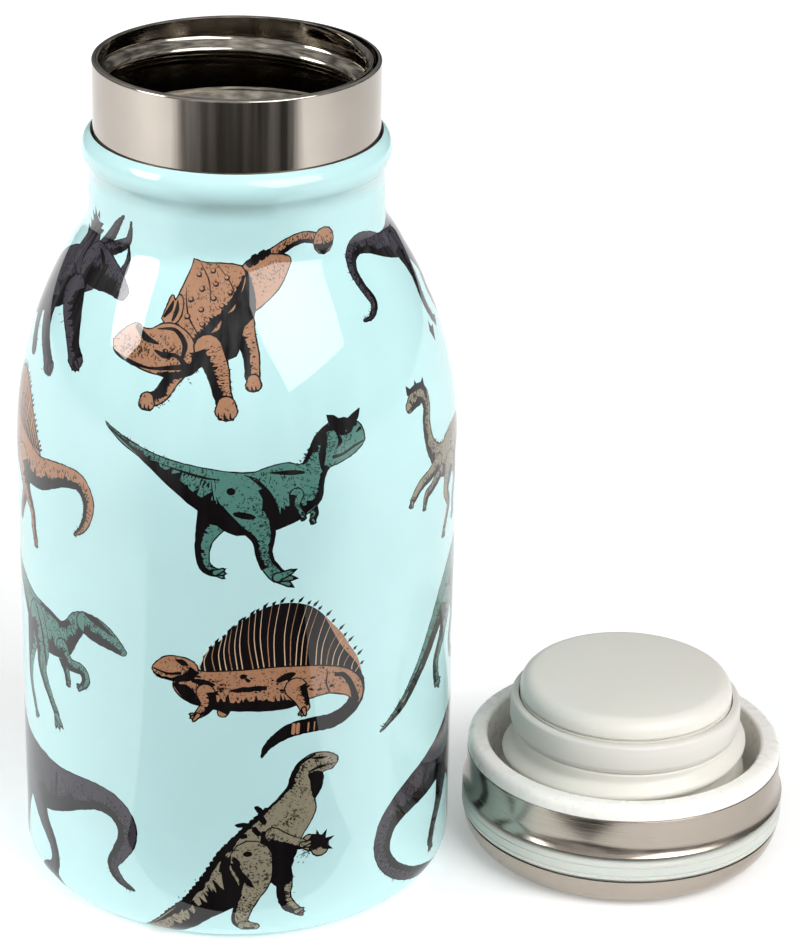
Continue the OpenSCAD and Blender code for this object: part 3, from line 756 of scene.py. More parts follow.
def horned():
    """Heavy four-legged animal with a neck frill and long brow horns, facing right."""
    c = Creature("charcoal", 5)
    body = [(-16.0, -10.0, 2.0), (-12.6, -7.0, 3.6), (-8.6, -3.4, 4.8), (-4.0, -0.6, 5.0), (0.4, 1.6, 4.2),
            (3.6, 2.6, 3.0)]
    c.limb([(-8.4, -7.4, 1.8), (-6.6, -10.4, 1.0), (-4.6, -13.4, 0.9)], 0.6, -1)
    c.limb([(-13.0, -9.6, 2.0), (-13.4, -13.6, 1.2), (-12.0, -17.0, 1.1)], 0.6, -1)
    c.limb(body, 0.4, -1)
    c.ticks(body, 170, -0.7, 0.9, 1.3, 0.2, lean=1.0)
    c.limb([(-4.6, -4.4, 2.4), (-2.6, -8.8, 1.3), (0.4, -12.2, 1.0), (1.6, -13.6, 1.3)], 0.5, 1)
    c.foot(1.8, -13.8, 1.0, 285)
    c.limb([(1.6, -1.4, 2.8), (4.2, -5.4, 1.8), (6.0, -8.6, 1.15), (7.2, -10.4, 1.4)], 0.5, 1)
    c.foot(7.4, -10.8, 1.1, 285)
    c.patch([(-4.4, 3.4), (-3.8, 7.0), (-2.6, 9.8), (-0.8, 10.6), (0.8, 9.4), (1.8, 6.6), (3.4, 3.6),
             (0.4, 1.4)])
    c.spikes([(-3.6, 7.4, 0.4), (-2.2, 9.8, 0.4), (0.0, 10.4, 0.4), (1.0, 8.6, 0.2)], 7, 1.6, 1)
    c.line((-3.0, 4.4, 0.2), (-1.8, 8.0, 0.35), (-0.4, 9.6, 0.2))
    c.line((-0.6, 4.0, 0.2), (-0.2, 7.4, 0.4), (0.4, 8.8, 0.2))
    head = [(2.6, 4.4, 3.0), (6.2, 3.6, 2.8), (9.6, 2.9, 2.0), (12.2, 1.7, 1.2)]
    for horn in ([(2.4, 6.2, 1.1), (5.4, 9.4, 0.85), (7.2, 11.4, 0.55), (8.8, 13.0, 0.08)],
                 [(3.8, 6.2, 1.2), (7.4, 7.8, 0.95), (10.0, 9.4, 0.6), (10.8, 12.4, 0.05)],
                 [(10.4, 3.4, 0.9), (11.1, 5.8, 0.5), (10.4, 8.4, 0.05)]):
        c.limb(horn, 0.4, -1)
    c.limb(head, 0.45, -1)
    c.ticks(head, 80, -0.8, 0.8, 0.9, 0.18, lean=1.4)
    c.line((3.4, 6.4, 0.2), (5.4, 5.2, 0.4), (6.6, 3.4, 0.3), (5.6, 1.6, 0.3))
    c.eye(7.0, 4.6, 0.45)
    return c.marks


def finned():
    """Two-legged fish eater with a long fin on its back and a drooping tail, facing left."""
    c = Creature("brown", 6)
    spine = [(16.2, -10.2, 0.06), (17.8, -8.8, 0.45), (19.0, -6.6, 0.75), (19.3, -3.7, 1.0),
             (17.6, -1.2, 1.3), (14.4, -1.0, 1.6), (10.8, -1.9, 2.1), (6.6, -3.0, 2.7), (1.4, -2.6, 3.6),
             (-4.0, -1.4, 4.0), (-8.4, 1.4, 2.6), (-11.0, 4.4, 1.7), (-13.6, 5.0, 1.5), (-17.4, 3.2, 0.5)]
    crest = [(7.6, -0.8), (6.4, 1.8), (4.0, 5.2), (1.4, 8.2), (-2.0, 10.4), (-5.6, 10.6), (-8.6, 7.6),
             (-9.6, 3.2)]
    c.limb([(-1.4, -4.6, 2.4), (0.2, -8.4, 1.2), (-1.4, -11.8, 0.8), (-2.4, -14.0, 0.6)], 0.5, 1)
    edge = smooth(crest, 5)
    c.mark("ink", edge)
    c.mark("brown", edge * 0.94 + np.array([-0.05, 0.2]))
    for k in range(24):
        u = k / 23
        foot, tip = (7.0 - 15.6 * u, 0.6), edge[round((0.08 + 0.84 * u) * (len(edge) - 1))]
        c.line((*foot, 0.26), (*tip, 0.06), steps=2)
        c.mark("ink", dash(*tip, math.radians(40 + 70 * u), 0.8, 0.5))
    c.limb(spine, 0.34, 1)
    c.ticks(spine, 170, -0.7, 0.6, 1.1, 0.18, lean=0.5)
    c.spikes(spine, 12, 0.45, -1, 0.36, 0.6)
    c.line((-17.4, 3.0, 0.1), (-14.0, 3.8, 0.25), (-12.0, 4.0, 0.15))
    c.eye(-12.8, 5.8, 0.35)
    c.limb([(-0.6, -4.0, 3.0), (1.6, -8.2, 1.5), (3.8, -10.8, 0.8), (4.2, -13.4, 0.7), (4.8, -15.2, 0.7)],
           0.4, 1)
    c.foot(4.8, -15.4, 1.0, 280)
    c.limb([(-7.6, -1.0, 0.9), (-9.2, -3.0, 0.5), (-10.6, -3.2, 0.4)], 0.3, 1)
    return c.marks


def slender():
    """Light two-legged runner with a long thin neck, facing left."""
    c = Creature("olive", 7)
    spine = [(19.0, 0.4, 0.1), (13.0, 0.6, 0.7), (7.6, 0.2, 1.8), (2.6, -1.0, 3.2), (-1.6, -2.0, 3.2),
             (-4.9, -0.7, 1.9), (-7.2, 2.2, 1.15), (-7.7, 5.6, 0.95), (-7.0, 8.4, 0.95), (-7.6, 10.4, 1.3),
             (-9.6, 10.7, 1.5), (-11.8, 9.6, 0.8)]
    c.limb([(3.0, -3.6, 1.8), (4.4, -7.6, 0.8), (3.2, -10.8, 0.55), (3.6, -13.6, 0.45)], 0.5, 1)
    c.foot(3.5, -13.8, 1.0, 190)
    for x, turn in ((-11.0, 115), (-9.2, 90), (-7.6, 60)):
        c.mark("ink", dash(x, 11.2, math.radians(turn), 2.0, 1.4))
    c.limb(spine, 0.3, 1)
    c.ticks(spine, 180, -0.9, 0.7, 0.8, 0.15, lean=1.2)
    c.spots(spine, 14, -0.6, 0.2, 0.3)
    c.line((-11.6, 11.6, 0.3), (-9.6, 12.0, 0.5), (-7.2, 11.6, 0.5), (-6.6, 9.6, 0.3))
    c.line((-12.4, 9.0, 0.1), (-10.4, 9.4, 0.25), (-9.0, 9.4, 0.2))
    c.eye(-10.0, 10.9, 0.4)
    c.spikes(spine, 6, 0.8, -1, 0.36, 0.52)
    c.limb([(0.6, -4.2, 2.3), (-1.0, -8.0, 1.1), (0.4, -11.0, 0.6), (-1.6, -14.4, 0.45)], 0.35, 1)
    c.foot(-1.7, -14.6, 1.1, 262)
    c.limb([(-3.8, -3.6, 1.0), (-6.6, -5.2, 0.7), (-8.4, -6.0, 0.6), (-9.0, -7.6, 0.4)], 0.4, 1)
    c.foot(-9.0, -7.6, 0.7, 260)
    c.limb([(-4.6, -1.8, 1.3), (-7.6, -2.9, 0.9), (-10.4, -3.8, 0.8), (-12.4, -5.6, 0.5)], 0.3, 1)
    c.foot(-12.5, -5.8, 0.8, 250)
    return c.marks


def raptor():
    """Small quick hunter that leans forward, facing right."""
    c = Creature("teal", 8)
    spine = [(-21.0, 9.4, 0.1), (-14.6, 6.8, 0.8), (-9.6, 4.0, 1.9), (-5.0, 1.2, 3.2), (0.0, 0.0, 3.7),
             (4.2, 0.0, 3.0), (6.8, 2.0, 1.9), (8.6, 4.2, 1.7), (10.6, 5.0, 1.4)]
    c.limb([(-5.2, -2.0, 2.6), (-6.6, -7.6, 1.2), (-6.8, -12.0, 0.6), (-5.0, -16.0, 0.5)], 0.5, -1)
    c.foot(-4.8, -16.4, 1.2, -60)
    c.limb([(4.6, -3.4, 0.9), (5.6, -5.2, 0.6), (6.0, -7.0, 0.5)], 0.5, -1)
    c.foot(6.0, -7.0, 0.7, -90)
    c.limb(spine, 0.3, -1)
    c.shade([(-2.0, 3.6, 0.3), (1.0, 3.8, 0.7), (4.6, 3.0, 0.9), (6.6, 4.0, 0.6)], -1)
    c.ticks(spine, 200, -0.7, 0.9, 0.9, 0.16, lean=1.0)
    head = [(10.2, 4.8, 1.7), (12.8, 4.2, 2.0), (15.4, 3.2, 1.5), (17.6, 1.9, 0.6)]
    c.limb(head, 0.35, -1)
    c.line((10.4, 6.4, 0.3), (12.4, 5.8, 0.6), (14.2, 5.0, 0.4), (15.8, 4.2, 0.15))
    c.line((11.4, 3.4, 0.3), (14.0, 2.4, 0.3), (17.2, 1.6, 0.1))
    c.ticks(head, 50, -0.8, 0.8, 0.7, 0.16, lean=1.4)
    c.eye(12.4, 4.9, 0.4)
    c.limb([(4.6, -1.4, 1.4), (6.4, -3.6, 0.95), (9.2, -3.7, 0.8), (10.2, -5.2, 0.7), (9.4, -6.6, 0.4)],
           0.4, -1)
    c.foot(9.2, -6.8, 0.9, 200)
    thigh = [(-3.4, 0.6, 2.8), (-1.6, -3.4, 2.2), (-1.8, -7.6, 1.3), (0.6, -11.4, 0.7), (2.6, -14.0, 0.6)]
    c.limb(thigh, 0.3, -1)
    c.line((-3.8, 3.0, 0.1), (-1.6, -1.0, 0.3), (-0.4, -6.0, 0.3))
    c.ticks(thigh, 60, -0.8, 0.8, 0.8, 0.14, lean=1.0)
    c.foot(2.6, -14.4, 1.8, -70)
    return c.marks


def longtail():
    """Heavy two-legged hunter facing left, whose long tail swings out, over and down to the right."""
    c = Creature("charcoal", 9)
    spine = [(20.2, -11.0, 0.06), (17.6, -9.8, 0.6), (16.3, -7.4, 0.85), (17.6, -5.0, 1.2),
             (19.0, -2.2, 1.5), (18.8, 0.8, 1.7), (16.6, 3.1, 1.95), (13.2, 3.8, 2.2), (9.2, 3.1, 2.8),
             (4.8, 2.0, 3.7), (0.0, 1.2, 4.8), (-5.0, 1.2, 5.2), (-10.0, 3.2, 4.4), (-14.0, 6.6, 3.2),
             (-17.6, 8.8, 2.6), (-21.6, 8.0, 1.6)]
    c.limb([(-9.0, -2.0, 3.0), (-10.4, -7.0, 1.6), (-11.4, -11.6, 1.0), (-12.4, -14.6, 1.0)], 0.6, 1)
    c.foot(-12.6, -15.0, 1.5, 200)
    c.limb(spine, 0.3, 1)
    c.ticks(spine, 240, -0.7, 0.6, 1.2, 0.18, lean=0.5)
    c.line((3.4, 4.4, 0.1), (3.0, 1.0, 0.45), (2.6, -2.0, 0.3))
    c.line((-22.0, 7.4, 0.2), (-18.6, 7.6, 0.35), (-15.6, 7.0, 0.2))
    c.eye(-17.6, 10.0, 0.45)
    thigh = [(-4.6, -1.6, 3.8), (-1.6, -6.2, 1.9), (1.4, -9.2, 1.2), (2.4, -12.2, 1.05), (1.4, -14.6, 1.3)]
    c.limb(thigh, 0.35, 1)
    c.ticks(thigh, 50, -0.8, 0.8, 1.0, 0.16)
    c.limb([(1.6, -14.8, 1.1), (3.0, -16.2, 0.7), (4.0, -18.0, 0.2)], 0.6, 1)
    c.limb([(1.0, -14.4, 1.1), (-1.2, -15.2, 0.8), (-2.8, -16.6, 0.4)], 0.6, 1)
    c.limb([(-11.6, -0.6, 0.9), (-12.6, -2.6, 0.5), (-13.8, -3.2, 0.35)], 0.4, 1)
    return c.marks


def hook_tailed():
    """Slim two-legged hunter facing right, whose tail rises, bends over and hooks back at its tip."""
    c = Creature("charcoal", 10)
    spine = [(-14.2, -2.9, 0.08), (-12.6, -2.7, 0.25), (-11.3, -0.8, 0.55), (-12.4, 2.0, 0.6),
             (-13.0, 4.8, 0.75), (-12.0, 7.2, 1.1), (-9.6, 8.3, 1.4), (-6.0, 7.6, 1.65), (-2.0, 6.0, 1.9),
             (2.5, 5.4, 2.6), (7.6, 6.2, 3.2), (12.4, 8.4, 2.2), (15.4, 11.0, 1.5), (18.4, 11.4, 0.8)]
    c.limb([(6.4, 3.4, 2.4), (8.4, -1.4, 1.2), (7.0, -5.4, 0.7), (8.4, -9.0, 0.6)], 0.6, -1)
    c.foot(8.6, -9.2, 1.3, -5)
    c.limb(spine, 0.34, -1)
    c.ticks(spine, 150, -0.7, 0.8, 1.1, 0.18, lean=0.4)
    c.limb([(3.0, 4.0, 2.6), (3.2, -0.4, 1.3), (2.2, -5.0, 0.7), (3.0, -8.4, 0.55)], 0.5, -1)
    c.foot(3.2, -8.8, 1.2, -40)
    c.patch([(0.2, -9.6), (0.8, -8.4), (1.1, -9.6), (1.9, -9.4), (1.0, -11.6)], "ink", 1)
    c.eye(16.4, 11.8, 0.4)
    return c.marks


def loop_tailed():
    """Heavy two-legged hunter facing right, whose thick tail hangs down and loops forward under it."""
    c = Creature("charcoal", 11)
    spine = [(2.4, -15.8, 0.1), (-1.8, -16.2, 0.6), (-6.6, -15.2, 0.85), (-11.4, -13.6, 1.0),
             (-15.4, -11.2, 1.25), (-17.8, -8.0, 1.45), (-18.0, -4.6, 1.7), (-16.2, -1.4, 2.1),
             (-12.4, 0.8, 2.7), (-7.4, 2.2, 3.3), (-2.0, 3.6, 3.8), (3.6, 5.2, 4.4), (8.6, 8.0, 3.6),
             (12.4, 11.6, 2.6), (16.0, 12.4, 2.2), (19.6, 10.8, 1.2)]
    c.limb([(5.0, 0.4, 3.0), (7.4, -4.6, 1.5), (6.0, -9.0, 1.0), (8.0, -12.2, 1.0)], 0.6, -1)
    c.foot(8.2, -12.6, 1.6, -6)
    c.limb(spine, 0.34, -1)
    c.ticks(spine, 260, -0.7, 0.8, 1.3, 0.18, lean=0.4)
    c.limb([(1.0, 1.0, 3.6), (-1.0, -4.4, 1.6), (-3.4, -8.0, 1.0), (-4.6, -10.8, 0.9)], 0.5, -1)
    c.foot(-4.6, -11.2, 1.3, 280)
    c.line((20.0, 10.2, 0.15), (17.0, 10.8, 0.3), (14.4, 10.4, 0.15))
    c.eye(15.8, 13.2, 0.45)
    return c.marks


def upright():
    """Two-legged hunter that stands up, facing right, with a long straight tail behind it."""
    c = Creature("teal", 12)
    spine = [(-26.2, -13.8, 0.06), (-21.6, -10.8, 0.7), (-18.2, -7.5, 1.0), (-15.2, -4.2, 1.4),
             (-12.2, -0.8, 1.9), (-8.0, 3.2, 2.9), (-3.0, 6.6, 3.4), (2.0, 8.8, 2.8), (5.2, 10.6, 1.8),
             (8.6, 10.8, 1.7), (12.0, 9.8, 0.7)]
    c.limb([(-3.4, 3.0, 2.6), (-2.0, -2.0, 1.2), (-4.0, -6.4, 0.8), (-2.8, -9.8, 0.7)], 0.6, -1)
    c.foot(-2.8, -10.0, 1.3, -5)
    c.limb(spine, 0.4, -1)
    c.ticks(spine, 170, -0.7, 0.8, 1.2, 0.18, lean=0.5)
    c.line((-24.0, -12.2, 0.05), (-18.0, -7.0, 0.25), (-13.0, -1.8, 0.3), (-9.0, 2.4, 0.1))
    c.limb([(-6.6, 1.0, 2.8), (-8.6, -3.6, 1.4), (-11.2, -7.2, 0.95), (-10.8, -11.2, 0.9)], 0.45, -1)
    c.foot(-10.6, -11.6, 1.3, -20)
    c.limb([(3.6, 6.8, 0.9), (4.8, 4.6, 0.5), (6.2, 4.2, 0.35)], 0.4, -1)
    c.eye(8.6, 11.6, 0.4)
    return c.marks


# One row of the print per line: its height along the shell's outline, then
# (creature, degrees from the front, direction, scale) for each one in it.
ROWS = [
    (108.4, [(armoured, -6.0, 1, 1.0), (horned, -67, 1, 1.0), (hook_tailed, 71, 1, 1.0),
             (predator, 139, 1, 0.62), (grazer, -136, 1, 0.7)]),
    (80.7, [(predator, -1.4, 1, 1.0), (finned, -73, 1, 1.0), (slender, 70, 1, 1.0),
            (horned, 138, -1, 0.95), (raptor, -139, 1, 0.9)]),
    (51.3, [(sailback, 4.2, 1, 1.0), (raptor, -60, 1, 1.0), (upright, 82, 1, 1.0),
            (longtail, 146, 1, 0.72), (armoured, -135, 1, 0.9)]),
    (22.3, [(grazer, -0.3, 1, 1.0), (longtail, -62, 1, 1.0), (loop_tailed, 70, 1, 1.0),
            (finned, 145, 1, 0.85), (sailback, -137, -1, 0.85)]),
]


def shell_outline():
    """The painted face from the base's flat ring up to the bead's lip, finely divided."""
    base_r = BODY_R - BASE_CORNER
    points = arc(base_r, BASE_CORNER, BASE_CORNER, -90, 0)
    points += [(BODY_R, z) for z in np.linspace(BASE_CORNER, SHOULDER_Z, 18)[1:-1]]
    points += shoulder(SHOULDER_R, NECK_FILLET, NECK_R, 0)
    points += [(NECK_R, z) for z in np.linspace(points[-1][1], BEAD_Z - BEAD_HALF, 4)[1:-1]]
    return np.array(points + bead(0))


def printed_marks(length, radius_at):
    """Every mark of the print on the unrolled shell, as (ink, outline) in millimetres."""
    marks = []
    for height, entries in ROWS:
        stretch = BODY_R / radius_at(height)
        for creature, front, flip, size in entries:
            for name, outline in creature():
                x = BODY_R * math.radians(front) + outline[:, 0] * flip * size * stretch
                s = np.clip(height + outline[:, 1] * size, PRINT_MARGIN, length - PRINT_MARGIN)
                marks.append((name, np.stack([x, s], 1)))
    return marks


def inside(points, outline):
    """Which points an outline winds round."""
    x, y = points[:, 0][:, None], points[:, 1][:, None]
    x0, y0 = outline[:, 0], outline[:, 1]
    x1, y1 = np.roll(x0, -1), np.roll(y0, -1)
    side = (x1 - x0) * (y - y0) - (x - x0) * (y1 - y0)
    up = (y0 <= y) & (y1 > y) & (side > 0)
    down = (y0 > y) & (y1 <= y) & (side < 0)
    return (up.sum(1) - down.sum(1)) != 0


def unrolled_shell(outline):
    """Triangles of the unrolled shell, cut along every edge of the print, and each one's ink."""
    heights = np.concatenate([[0], np.cumsum(np.hypot(*np.diff(outline, axis=0).T))])
    half = math.pi * BODY_R
    columns = np.linspace(-half, half, GIRTH_STEPS + 1)
    marks = printed_marks(heights[-1], lambda s: np.interp(s, heights, outline[:, 0]))
    coords = [(x, s) for s in heights for x in columns]
    wide = GIRTH_STEPS + 1
    edges = [(k * wide + i, k * wide + i + 1) for k in range(len(heights)) for i in range(GIRTH_STEPS)]
    edges += [(k * wide + i, (k + 1) * wide + i) for k in range(len(heights) - 1) for i in (0, GIRTH_STEPS)]
    for _, mark in marks:
        first = len(coords)
        coords += [tuple(p) for p in mark]
        edges += [(first + i, first + (i + 1) % len(mark)) for i in range(len(mark))]
    verts, _, faces, *_ = delaunay_2d_cdt([Vector(c) for c in coords], edges, [], 0, 1e-4, False)
    verts = np.array([tuple(v) for v in verts])
    faces = np.array([f for f in faces if len(f) == 3])
    middles = verts[faces].mean(1)
    inks = np.zeros(len(faces), int)
    order = np.argsort(middles[:, 1])
    rows = middles[order, 1]
    names = list(INKS)
    for name, mark in marks:
        low, high = mark.min(0), mark.max(0)
        near = order[np.searchsorted(rows, low[1]):np.searchsorted(rows, high[1])]
        near = near[(middles[near, 0] > low[0]) & (middles[near, 0] < high[0])]
        inks[near[inside(middles[near], mark)]] = names.index(name) + 1
    return verts, faces, inks, heights


def painted_shell():
    """The steel shell: a printed outer face, a bare inner face and the two rims between them."""
    outline = shell_outline()
    verts, faces, inks, heights = unrolled_shell(outline)
    angle = verts[:, 0] / BODY_R
    radius = np.interp(verts[:, 1], heights, outline[:, 0])
    height = np.interp(verts[:, 1], heights, outline[:, 1])
    slopes = np.gradient(outline, heights, axis=0)
    lean_r = np.interp(verts[:, 1], heights, slopes[:, 1])
    lean_z = -np.interp(verts[:, 1], heights, slopes[:, 0])
    outer = np.stack([radius * np.sin(angle), -radius * np.cos(angle), height], 1)
    normals = np.stack([lean_r * np.sin(angle), -lean_r * np.cos(angle), lean_z], 1)

    base_r = BODY_R - BASE_CORNER
    inner_line = arc(base_r, BASE_CORNER, BASE_CORNER - SHELL_T, -90, 0)
    inner_line += shoulder(SHOULDER_R, NECK_FILLET, NECK_R, SHELL_T) + bead(SHELL_T)
    inner_line = np.array([tuple(outline[0]), *inner_line, tuple(outline[-1])])
    turns = np.linspace(-math.pi, math.pi, GIRTH_STEPS + 1)
    inner = np.array([(r * math.sin(a), -r * math.cos(a), z) for r, z in inner_line for a in turns])
    wide = GIRTH_STEPS + 1
    first = len(outer)
    quads = [
        (at, at + wide, at + wide + 1, at + 1)
        for k in range(len(inner_line) - 1) for at in range(first + k * wide, first + k * wide + GIRTH_STEPS)
    ]
    points = np.concatenate([outer, inner])
    _, kept, index = np.unique(np.round(points, 4), axis=0, return_index=True, return_inverse=True)
    index = index.ravel()
    mesh = bpy.data.meshes.new("painted_shell")
    all_faces = [tuple(index[f]) for f in faces.tolist()] + [tuple(index[list(q)]) for q in quads]
    mesh.from_pydata(points[kept] * MM, [], all_faces)
    for material in (PAINT, *INKS.values(), HIDDEN):
        mesh.materials.append(material)
    slots = np.concatenate([inks, np.full(len(quads), len(INKS) + 1)])
    mesh.polygons.foreach_set("material_index", slots)
    mesh.shade_smooth()
    rim = {tuple(sorted(e)) for e in rim_edges(index, first, wide, len(inner_line))}
    sharp = np.array([tuple(sorted(e.vertices)) in rim for e in mesh.edges])
    mesh.attributes.new("sharp_edge", "BOOLEAN", "EDGE").data.foreach_set("value", sharp)
    corner_normals = np.array([v.vector for v in mesh.corner_normals])
    count = 3 * len(faces)
    corner_normals[:count] = normals[faces.ravel()]
    mesh.normals_split_custom_set(corner_normals.tolist())
    return new_object("painted_shell", mesh)


def rim_edges(index, first, wide, lines):
    """The edges round the shell's two rims, where the painted face meets bare steel."""
    for k in (0, 1, lines - 2, lines - 1):
        for i in range(wide - 1):
            yield index[first + k * wide + i], index[first + k * wide + i + 1]


# --- Flask ---

def thread(start_z, turns, depth, half_width, from_angle=0.0):
    """How far a right-handed thread stands out at a height and angle. Both its ends fade away."""
    def height_of(z, angle):
        out = 0.0
        for turn in range(-1, math.ceil(turns) + 1):
            along = turn + ((angle - from_angle) % math.tau) / math.tau
            fade = min(1.0, max(0.0, along / 0.12), max(0.0, (turns - along) / 0.12))
            off = abs(z - start_z - along * THREAD_PITCH) / half_width
            if fade > 0 and off < 1:
                out = max(out, fade * depth * (0.5 + 0.5 * math.cos(math.pi * off)))
        return out
    return height_of


def polished_band():
    """The band round the mouth, with its tail under the bead."""
    tail_r = NECK_R - SHELL_T - 0.05
    low = BEAD_Z - 5.3
    inside_r = ENTRY_R + INNER_T + 0.05
    outline = rounded([
        (tail_r, low), (tail_r, low + 4.5), (BAND_R, low + 5.7, 0.3), (BAND_R, MOUTH_Z, 0.35),
        (inside_r, MOUTH_Z), (inside_r, low + 5.7), (tail_r - 0.5, low + 4.5), (tail_r - 0.5, low),
    ])
    return revolve("polished_band", outline)


def inner_flask():
    """The inner flask's wall, with its rolled thread and the step down to the throat."""
    ridge = thread(THREAD_TOP - THREAD_PITCH - 0.6, 1.75, 1.5, 2.1, math.radians(150))
    shoulder_r = INNER_R + INNER_T - (BODY_R - SHOULDER_R)

    def face(inset):
        curve = shoulder(shoulder_r, 4.0, THROAT_R + INNER_T, inset)
        low = [(INNER_R + INNER_T - inset, z) for z in np.linspace(FLOOR_Z + FLOOR_CORNER, 70, 10)]
        steep = [(THROAT_R + INNER_T - inset, 122.9), (THROAT_R + INNER_T + 0.25 - inset, 123.35),
                 (ENTRY_R + INNER_T - 0.3 - inset, STEP_Z - 0.25), (ENTRY_R + INNER_T - inset, STEP_Z + 0.1)]
        wall = [(ENTRY_R + INNER_T - inset, z) for z in np.arange(STEP_Z + 0.4, MOUTH_Z - 0.25, 0.3)]
        return low + curve + steep + wall

    top = [(ENTRY_R + INNER_T, MOUTH_Z - 0.1), (ENTRY_R + INNER_T - 0.1, MOUTH_Z), (ENTRY_R + 0.12, MOUTH_Z),
           (ENTRY_R, MOUTH_Z - 0.12)]
    outline = face(0) + top + face(INNER_T)[::-1]

    def shape(radius, height, angle):
        return radius - (ridge(height, angle) if height > STEP_Z else 0.0)

    return revolve("inner_flask", outline, shape=shape, segments=216, crease=40)


def flask_floor():
    """Pressed floor of the inner flask, with a shallow ring stamped in it."""
    middle = INNER_R + INNER_T - FLOOR_CORNER
    ring = [(0.0, FLOOR_Z + 0.5), (9.0, FLOOR_Z + 0.5), (9.8, FLOOR_Z + 0.3), (10.6, FLOOR_Z)]
    low = ring + arc(middle, FLOOR_Z + FLOOR_CORNER, FLOOR_CORNER, -90, 0)
    high = [(r, z + INNER_T) for r, z in ring]
    high += arc(middle, FLOOR_Z + FLOOR_CORNER, FLOOR_CORNER - INNER_T, -90, 0)
    return revolve("flask_floor", low + high[::-1], segments=120)


def bottom_cover():
    """Flat steel cover under the base. Its rim is turned up, and a shallow ring is stamped in it."""
    r = BODY_R - BASE_CORNER - 0.2
    low = [(0, 0.45), (17, 0.45), (17.6, 0.35), (18.6, 0.05), (19.2, 0.0)] + arc(r - 0.5, 0.5, 0.5, -90, 0)
    high = [(r, 2.1), (r - 0.5, 2.1)]
    high += [(r - 0.5, 0.55), (19.4, 0.5), (18.4, 0.75), (17.4, 0.95), (0, 0.95)]
    return revolve("bottom_cover", low + high, segments=120)


# --- Lid ---

def lid_top():
    """Steel top, flat in the middle and rounded at its edge."""
    low = [(0, 0.0)] + arc(20.7, 5.7, 5.7, -90, 0)
    high = arc(20.7, 5.7, 5.3, 0, -90) + [(0, 0.4)]
    return revolve("lid_top", low + high, LID_X)


def soft_ring():
    """Soft ring between the lid's top and its band, with two fine lines round it."""
    line = 0.12
    outline = [(24.5, 6.0, 0.1), (26.7, 6.0, 0.7)]
    for z in (7.0, 8.5):
        outline += [(26.7, z - line), (26.55, z), (26.7, z + line)]
    outline += [(26.7, 9.5, 0.7), (24.5, 9.5, 0.1)]
    return revolve("soft_ring", rounded(outline), LID_X)


def steel_band():
    """Steel band round the skirt, flared at its lower edge."""
    flare = 3.2
    outer = arc(26.0 + flare, 12.4, flare, 180 + 39, 180)
    inner = arc(26.0 + flare, 12.4, flare + 0.4, 180, 180 + 39)
    top = rounded([(26.0, 12.6), (26.0, 16.7, 0.15), (25.6, 16.7), (25.6, 12.6)])
    return revolve("steel_band", outer + top + inner, LID_X)


def lid_skirt():
    """White moulding: the ceiling, and the skirt with its rounded rim."""
    outline = rounded([
        (0, 5.8), (24.4, 5.8), (24.4, 9.6), (25.5, 9.6), (25.5, 16.75), (25.95, 16.75, 0.12),
        (25.95, 19.1, 1.5), (22.7, 19.1, 0.7), (22.7, 7.6, 1.2), (0, 7.6),
    ])
    return revolve("lid_skirt", outline, LID_X)


def stopper():
    """Hollow stopper with a rounded thread round it."""
    ridge = thread(11.2, 1.6, 1.6, 2.3, math.radians(200))
    wall = [(18.6, z) for z in np.arange(7.9, 20.6, 0.3)]
    rest = rounded([(18.6, 20.7), (18.6, 21.3, 0.5), (17.5, 21.3, 0.2), (17.5, 26.6), (16.3, 26.6),
                    (16.3, 8.6)])
    outline = [(0, 7.6), (18.6, 7.6)] + wall + rest + [(0, 8.6)]

    def shape(radius, height, angle):
        return radius + (ridge(height, angle) if radius > 18.5 and 7.7 < height < 20.7 else 0.0)

    return revolve("stopper", outline, LID_X, shape, 216, 40)


def stopper_end():
    """Round end of the stopper, softly rounded, with a parting line under its edge."""
    outline = rounded([(0, 26.6), (17.0, 26.6), (17.5, 27.1, 0.3), (17.5, 30.1, 2.4), (0, 30.1)])
    return revolve("stopper_end", outline, LID_X)


def gasket_sleeve():
    """Silicone sleeve with a rounded lip at each end."""
    outline = rounded([(17.7, 21.4), (18.7, 21.4, 0.3), (19.05, 22.4, 0.5), (19.05, 24.6, 0.5),
                       (18.9, 26.4, 0.6), (17.7, 26.4, 0.1)])
    return revolve("gasket_sleeve", outline, LID_X)


place(painted_shell(), "bottle", "painted_shell", PAINT, "outer_shell")
place(polished_band(), "bottle", "polished_steel", POLISHED, "neck_band")
place(inner_flask(), "bottle", "rolled_steel", ROLLED_WITH_PAINTED_SHADE, "inner_wall")
place(flask_floor(), "bottle", "rolled_steel", ROLLED_WITH_PAINTED_SHADE, "inner_bottom")
place(bottom_cover(), "bottle", "hidden_steel", HIDDEN, "base_cover")
place(lid_top(), "lid", "lid_steel", LID_STEEL, "lid_dome")
place(soft_ring(), "lid", "pale_silicone", PALE_SILICONE, "grip_ring")
place(steel_band(), "lid", "lid_steel", LID_STEEL, "lid_band")
place(lid_skirt(), "lid", "white_plastic", WHITE, "inner_cap")
place(stopper(), "lid", "white_plastic", STOPPER_WHITE, "stopper_body")
place(stopper_end(), "lid", "white_plastic", STOPPER_WHITE, "stopper_disc")
place(gasket_sleeve(), "gasket", "white_silicone", SILICONE, "stopper_gasket")

HIDDEN_NODES = {
    "outer_bottom": ("hidden_steel", HIDDEN),
    "foil_wrap": ("foil", FOIL),
    "foil_base": ("foil", FOIL),
    "getter_cup": ("hidden_steel", HIDDEN),
    "getter_pellet": ("getter", GETTER),
    "seal_bead": ("solder", SOLDER),
    "dome_liner": ("inner_plastic", INNER_WHITE),
    "stopper_foam": ("foam", FOAM),
    "lid_foam": ("foam", FOAM),
}
for node, (slot, material) in HIDDEN_NODES.items():
    carried = frame["nodes"][node]
    carried.data.materials.clear()
    carried.data.materials.append(material)


# --- Studio ---

